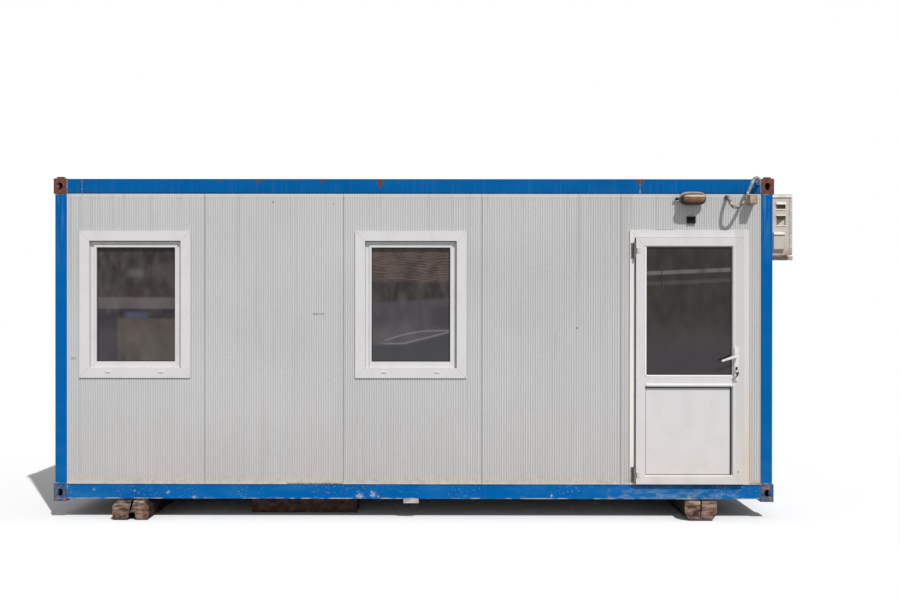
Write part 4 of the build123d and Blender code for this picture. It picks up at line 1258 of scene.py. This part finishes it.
# Mains comes in at the corner through a deep plastic box with a lid, faded to tan, and through a pale
# corrugated conduit that hangs in a loop from the wall and passes over the top rail.
tan_box = new_material("tan_box", (178, 158, 134), 0.55)
tan_fade = noise(18, 5)
finish(
    (186, 166, 142),
    (ramp(tan_fade, 0.4, 0.7), (156, 132, 108)),
    # painted shade along the underside of the box
    (ramp(axis_of("Z"), 2.480, 2.468, 0, 0.7), (110, 82, 62)),
    bump=tan_fade,
    strength=0.1
)
assign(["inlet_box"], tan_box, 0.005)
inlet_low, inlet_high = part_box("inlet_box")
inlet_seam = bmesh.new()
lid_y = inlet_low[1] + 0.022
proud = 0.0006
for z in (inlet_low[2] - proud, inlet_high[2]):
    cuboid(inlet_seam, inlet_low[0], inlet_high[0], lid_y, lid_y + 0.002, z, z + proud)
for x in (inlet_low[0] - proud, inlet_high[0]):
    cuboid(inlet_seam, x, x + proud, lid_y, lid_y + 0.002, inlet_low[2], inlet_high[2])
mesh_object("inlet_box_seam", inlet_seam, gasket)

conduit_grey = new_material("conduit_grey", (160, 154, 144), 0.55)
finish(
    (138, 130, 118),
    (ramp(noise(60, 4), 0.4, 0.7), (84, 76, 66)),
    # pale patches painted as highlights on the tube
    (ramp(noise(26, 2, (1, 1, 1.4)), 0.48, 0.58, 0, 0.8), (206, 200, 192)),
    (ramp(noise(30, 2, (1, 1, 1), (4, 0, 0)), 0.48, 0.56, 0, 0.8), (74, 66, 58)),
    (ramp(axis_of("Z"), 2.56, 2.62, 0, 0.45), (166, 174, 182)),
    bump=noise(400)
)
conduit_d = 0.028
conduit_route = (
    (2.600, 2.529, 0.014), (2.600, 2.529, 0.064), (2.602, 2.474, 0.102), (2.622, 2.438, 0.120),
    (2.662, 2.434, 0.125), (2.698, 2.472, 0.122), (2.728, 2.524, 0.115), (2.760, 2.584, 0.107),
    (2.782, 2.642, 0.097), (2.807, 2.680, 0.087), (2.840, 2.684, 0.074), (2.860, 2.653, 0.058),
    (2.860, 2.653, 0.020)
)
route_points = [(x, -wall_face - out, z) for x, z, out in conduit_route]
route = bpy.data.curves.new("conduit_route", "CURVE")
route.dimensions = "3D"
spline = route.splines.new("NURBS")
spline.points.add(len(route_points) - 1)
for control, point in zip(spline.points, route_points):
    control.co = (*point, 1)
spline.order_u = 3
spline.use_endpoint_u = True
spline.resolution_u = 16

conduit_line = [v.co.copy() for v in evaluated(bpy.data.objects.new("route", route)).vertices]
ridge_pitch = 0.0052
ridge_depth = 0.0012
conduit_sides = 16
lengths = [0]
for before, after in zip(conduit_line[:-1], conduit_line[1:]):
    lengths.append(lengths[-1] + (after - before).length)
conduit_length = lengths[-1]
steps = int(conduit_length / (ridge_pitch / 4))
rows = []
up = Vector((1, 0, 0))
segment = 0
for i in range(steps + 1):
    along = conduit_length * i / steps
    while segment < len(conduit_line) - 2 and lengths[segment + 1] < along:
        segment += 1
    share = (along - lengths[segment]) / max(lengths[segment + 1] - lengths[segment], 1e-9)
    centre = conduit_line[segment].lerp(conduit_line[segment + 1], share)
    tangent = (conduit_line[segment + 1] - conduit_line[segment]).normalized()
    up = (up - tangent * up.dot(tangent)).normalized()
    across = tangent.cross(up)
    radius = conduit_d / 2 - (ridge_depth if i % 4 in (0, 1) else 0)
    angles = [math.tau * j / conduit_sides for j in range(conduit_sides)]
    rows.append([centre + (up * math.cos(a) + across * math.sin(a)) * radius for a in angles])
conduit_mesh = bmesh.new()
loft(conduit_mesh, rows)
conduit_tube = mesh_object("conduit_tube", conduit_mesh, conduit_grey, smooth=True)
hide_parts("supply_conduit")
assign(["conduit_glands"], conduit_grey, 0.003)

# The cooling unit hangs on two angle brackets on the end wall. It is beige sheet, yellowed and rusty at
# the foot, with a wire guard over the fan, handholds and a valve cover on the side, and lagged pipes.
unit_low, unit_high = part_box("condenser_case")
unit_beige = new_material("unit_beige", (208, 201, 190), 0.5, specular=0.4)
unit_height = axis_of("Z")
unit_noise = noise(12, 5)
cover_low, cover_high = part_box("condenser_cover")
# Painted shade: a dark line along the right edge of the valve cover.
cover_edge_shade = product(
    band(axis_of("X"), cover_high[0] - 0.002, cover_high[0] + 0.006, 0.003),
    band(unit_height, cover_low[2], cover_high[2], 0.004), 0.6
)
fold_seam = product(
    ramp(axis_of("Y"), unit_low[1] + 0.02, unit_low[1] + 0.01),
    band(axis_of("X"), unit_high[0] - 0.030, unit_high[0] - 0.026, 0.003),
    ramp(noise(40, 3), 0.3, 0.6, 0.3, 0.7)
)
unit_dirt = product(
    ramp(unit_height, unit_low[2] + 0.075, unit_low[2] + 0.01), ramp(noise(20, 6), 0.3, 0.6, 0.4, 1), 0.75
)
finish(
    (206, 198, 188),
    (ramp(unit_noise, 0.4, 0.75), (190, 181, 168)),
    (cover_edge_shade, (140, 128, 114)),
    (fold_seam, (130, 118, 108)),
    (unit_dirt, (142, 118, 94)),
    roughness=ramp(unit_noise, 0.3, 0.7, 0.4, 0.6)
)
assign(["condenser_case", "condenser_guard"], unit_beige)
assign(["condenser_cover", "condenser_brackets"], unit_beige, 0.004)
unit_side_y = unit_low[1]
hold_x = (3.172, 3.260)
hollow_x = (3.177, 3.255)
edge_gap = 0.008
unit_trim = bmesh.new()


def ledge(mesh, x0, x1, y, z, depth, height):
    """A moulded ledge on a face that looks forwards: its front slopes back to the face at the top."""
    moulding(mesh, x0, x1, ((y, z + height), (y - depth, z), (y, z)))


for z, depth, height in (
    (2.520, 0.014, 0.024), (2.472, 0.005, 0.008), (2.420, 0.010, 0.012), (2.330, 0.005, 0.008)
):
    ledge(unit_trim, *hold_x, unit_side_y, z, depth, height)
ledge(unit_trim, cover_low[0], cover_high[0], cover_low[1], cover_high[2] - 0.022, 0.010, 0.022)
ledge(
    unit_trim, unit_low[0] + edge_gap, unit_high[0] - edge_gap, unit_side_y, unit_high[2] - 0.026, 0.008,
    0.018
)
for x0, x1 in (
    (unit_high[0] - 0.021, unit_high[0] - edge_gap), (unit_low[0] + edge_gap, unit_low[0] + 0.018)
):
    cuboid(unit_trim, x0, x1, unit_side_y - 0.002, unit_side_y, unit_low[2] + 0.012, unit_high[2] - 0.030)
mesh_object("unit_trim", unit_trim, unit_beige)
# Dark plates at the back of the two handholds are painted shade in the recesses; the lower one is cut to
# the triangle of its shadow.
recess_shade_brown = new_material("recess_shade_brown", (120, 108, 94), 0.8)
finish((128, 116, 102), (ramp(noise(60, 3, (0.4, 1, 1)), 0.4, 0.6), (96, 84, 70)))
recess_shade_plates = bmesh.new()
shade_plate_y = unit_side_y + 0.0135
cuboid(recess_shade_plates, *hollow_x, shade_plate_y - 0.001, shade_plate_y, 2.482, 2.520)
corner_points = (
    (hollow_x[0], 2.418), (hollow_x[1], 2.418), (hollow_x[1], 2.396), (3.216, 2.366), (3.190, 2.341),
    (hollow_x[0], 2.341)
)
loft(recess_shade_plates, [[(x, y, z) for x, z in corner_points] for y in (shade_plate_y - 0.001, shade_plate_y)])
mesh_object("recess_shade_plates", recess_shade_plates, recess_shade_brown)
unit_screws = screw_row(
    screw_zinc, (0, -1, 0), 0.0035, 0.003, (unit_high[0] - 0.012, unit_side_y, unit_low[2] + 0.06), 4,
    (0, 0, 0.137)
)
mesh_object("unit_screws", [unit_screws], screw_zinc)
fan_black = new_material("fan_black", (36, 36, 38), 0.5)
finish(bump=noise(90, 4))
assign(["condenser_fan"], fan_black)
guard_low, guard_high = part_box("condenser_guard")
guard_middle = Vector((guard_high[0] - 0.003, -0.4289, 2.3415))
guard_r = (guard_high[2] - guard_low[2]) / 2 - 0.006
guard_rings = 13
guard_wire_r = 0.0013
guard_wires = bmesh.new()
for n in range(1, guard_rings + 1):
    around = guard_r * n / guard_rings
    wire_ring(guard_wires, guard_middle, around, guard_wire_r, 72, Vector((0, 1, 0)), Vector((1, 0, 0)))
mesh_object("guard_wires", guard_wires, unit_beige)
pipe_foam = new_material("pipe_foam", (206, 200, 190), 0.8)
finish((208, 202, 192), (ramp(noise(30, 5), 0.4, 0.7), (160, 148, 132)), bump=noise(80, 4, (1, 4, 1)))
assign(["condenser_pipes"], pipe_foam)

# The stage: a plain pale floor, a bright sky that lights it evenly, and one sun from the upper right
# and the front.
floor_mesh = bmesh.new()
bmesh.ops.create_grid(
    floor_mesh, x_segments=1, y_segments=1, size=60, matrix=Matrix.Translation((0, 0, ground_z))
)
floor_data = bpy.data.meshes.new("ground")
floor_mesh.to_mesh(floor_data)
floor_mesh.free()
ground = bpy.data.objects.new("ground", floor_data)
scene.collection.objects.link(ground)
floor_paint = new_material("floor_paint", (236, 236, 236), 0.9, specular=0.1)
finish((236, 236, 236), (node("ShaderNodeLightPath")["Is Diffuse Ray"], (160, 160, 160)))
floor_data.materials.append(floor_paint)

world = bpy.data.worlds.new("sky")
scene.world = world
world.use_nodes = True
sky = world.node_tree.nodes["Background"]
sky_rays = world.node_tree.nodes.new("ShaderNodeLightPath")
sky_level = world.node_tree.nodes.new("ShaderNodeMapRange")
sky_level.inputs["To Min"].default_value = 0.41
sky_level.inputs["To Max"].default_value = 1
world.node_tree.links.new(sky_rays.outputs["Is Camera Ray"], sky_level.inputs["Value"])
world.node_tree.links.new(sky_level.outputs["Result"], sky.inputs["Strength"])
sky.inputs["Color"].default_value = (1, 1, 1, 1)

sun_data = bpy.data.lights.new("sun", "SUN")
sun_data.energy = 3.28
sun_data.angle = math.radians(0.8)
sun = bpy.data.objects.new("sun", sun_data)
sun.rotation_euler = Vector((-0.29, 0.53, -0.76)).to_track_quat("-Z", "Y").to_euler()
scene.collection.objects.link(sun)
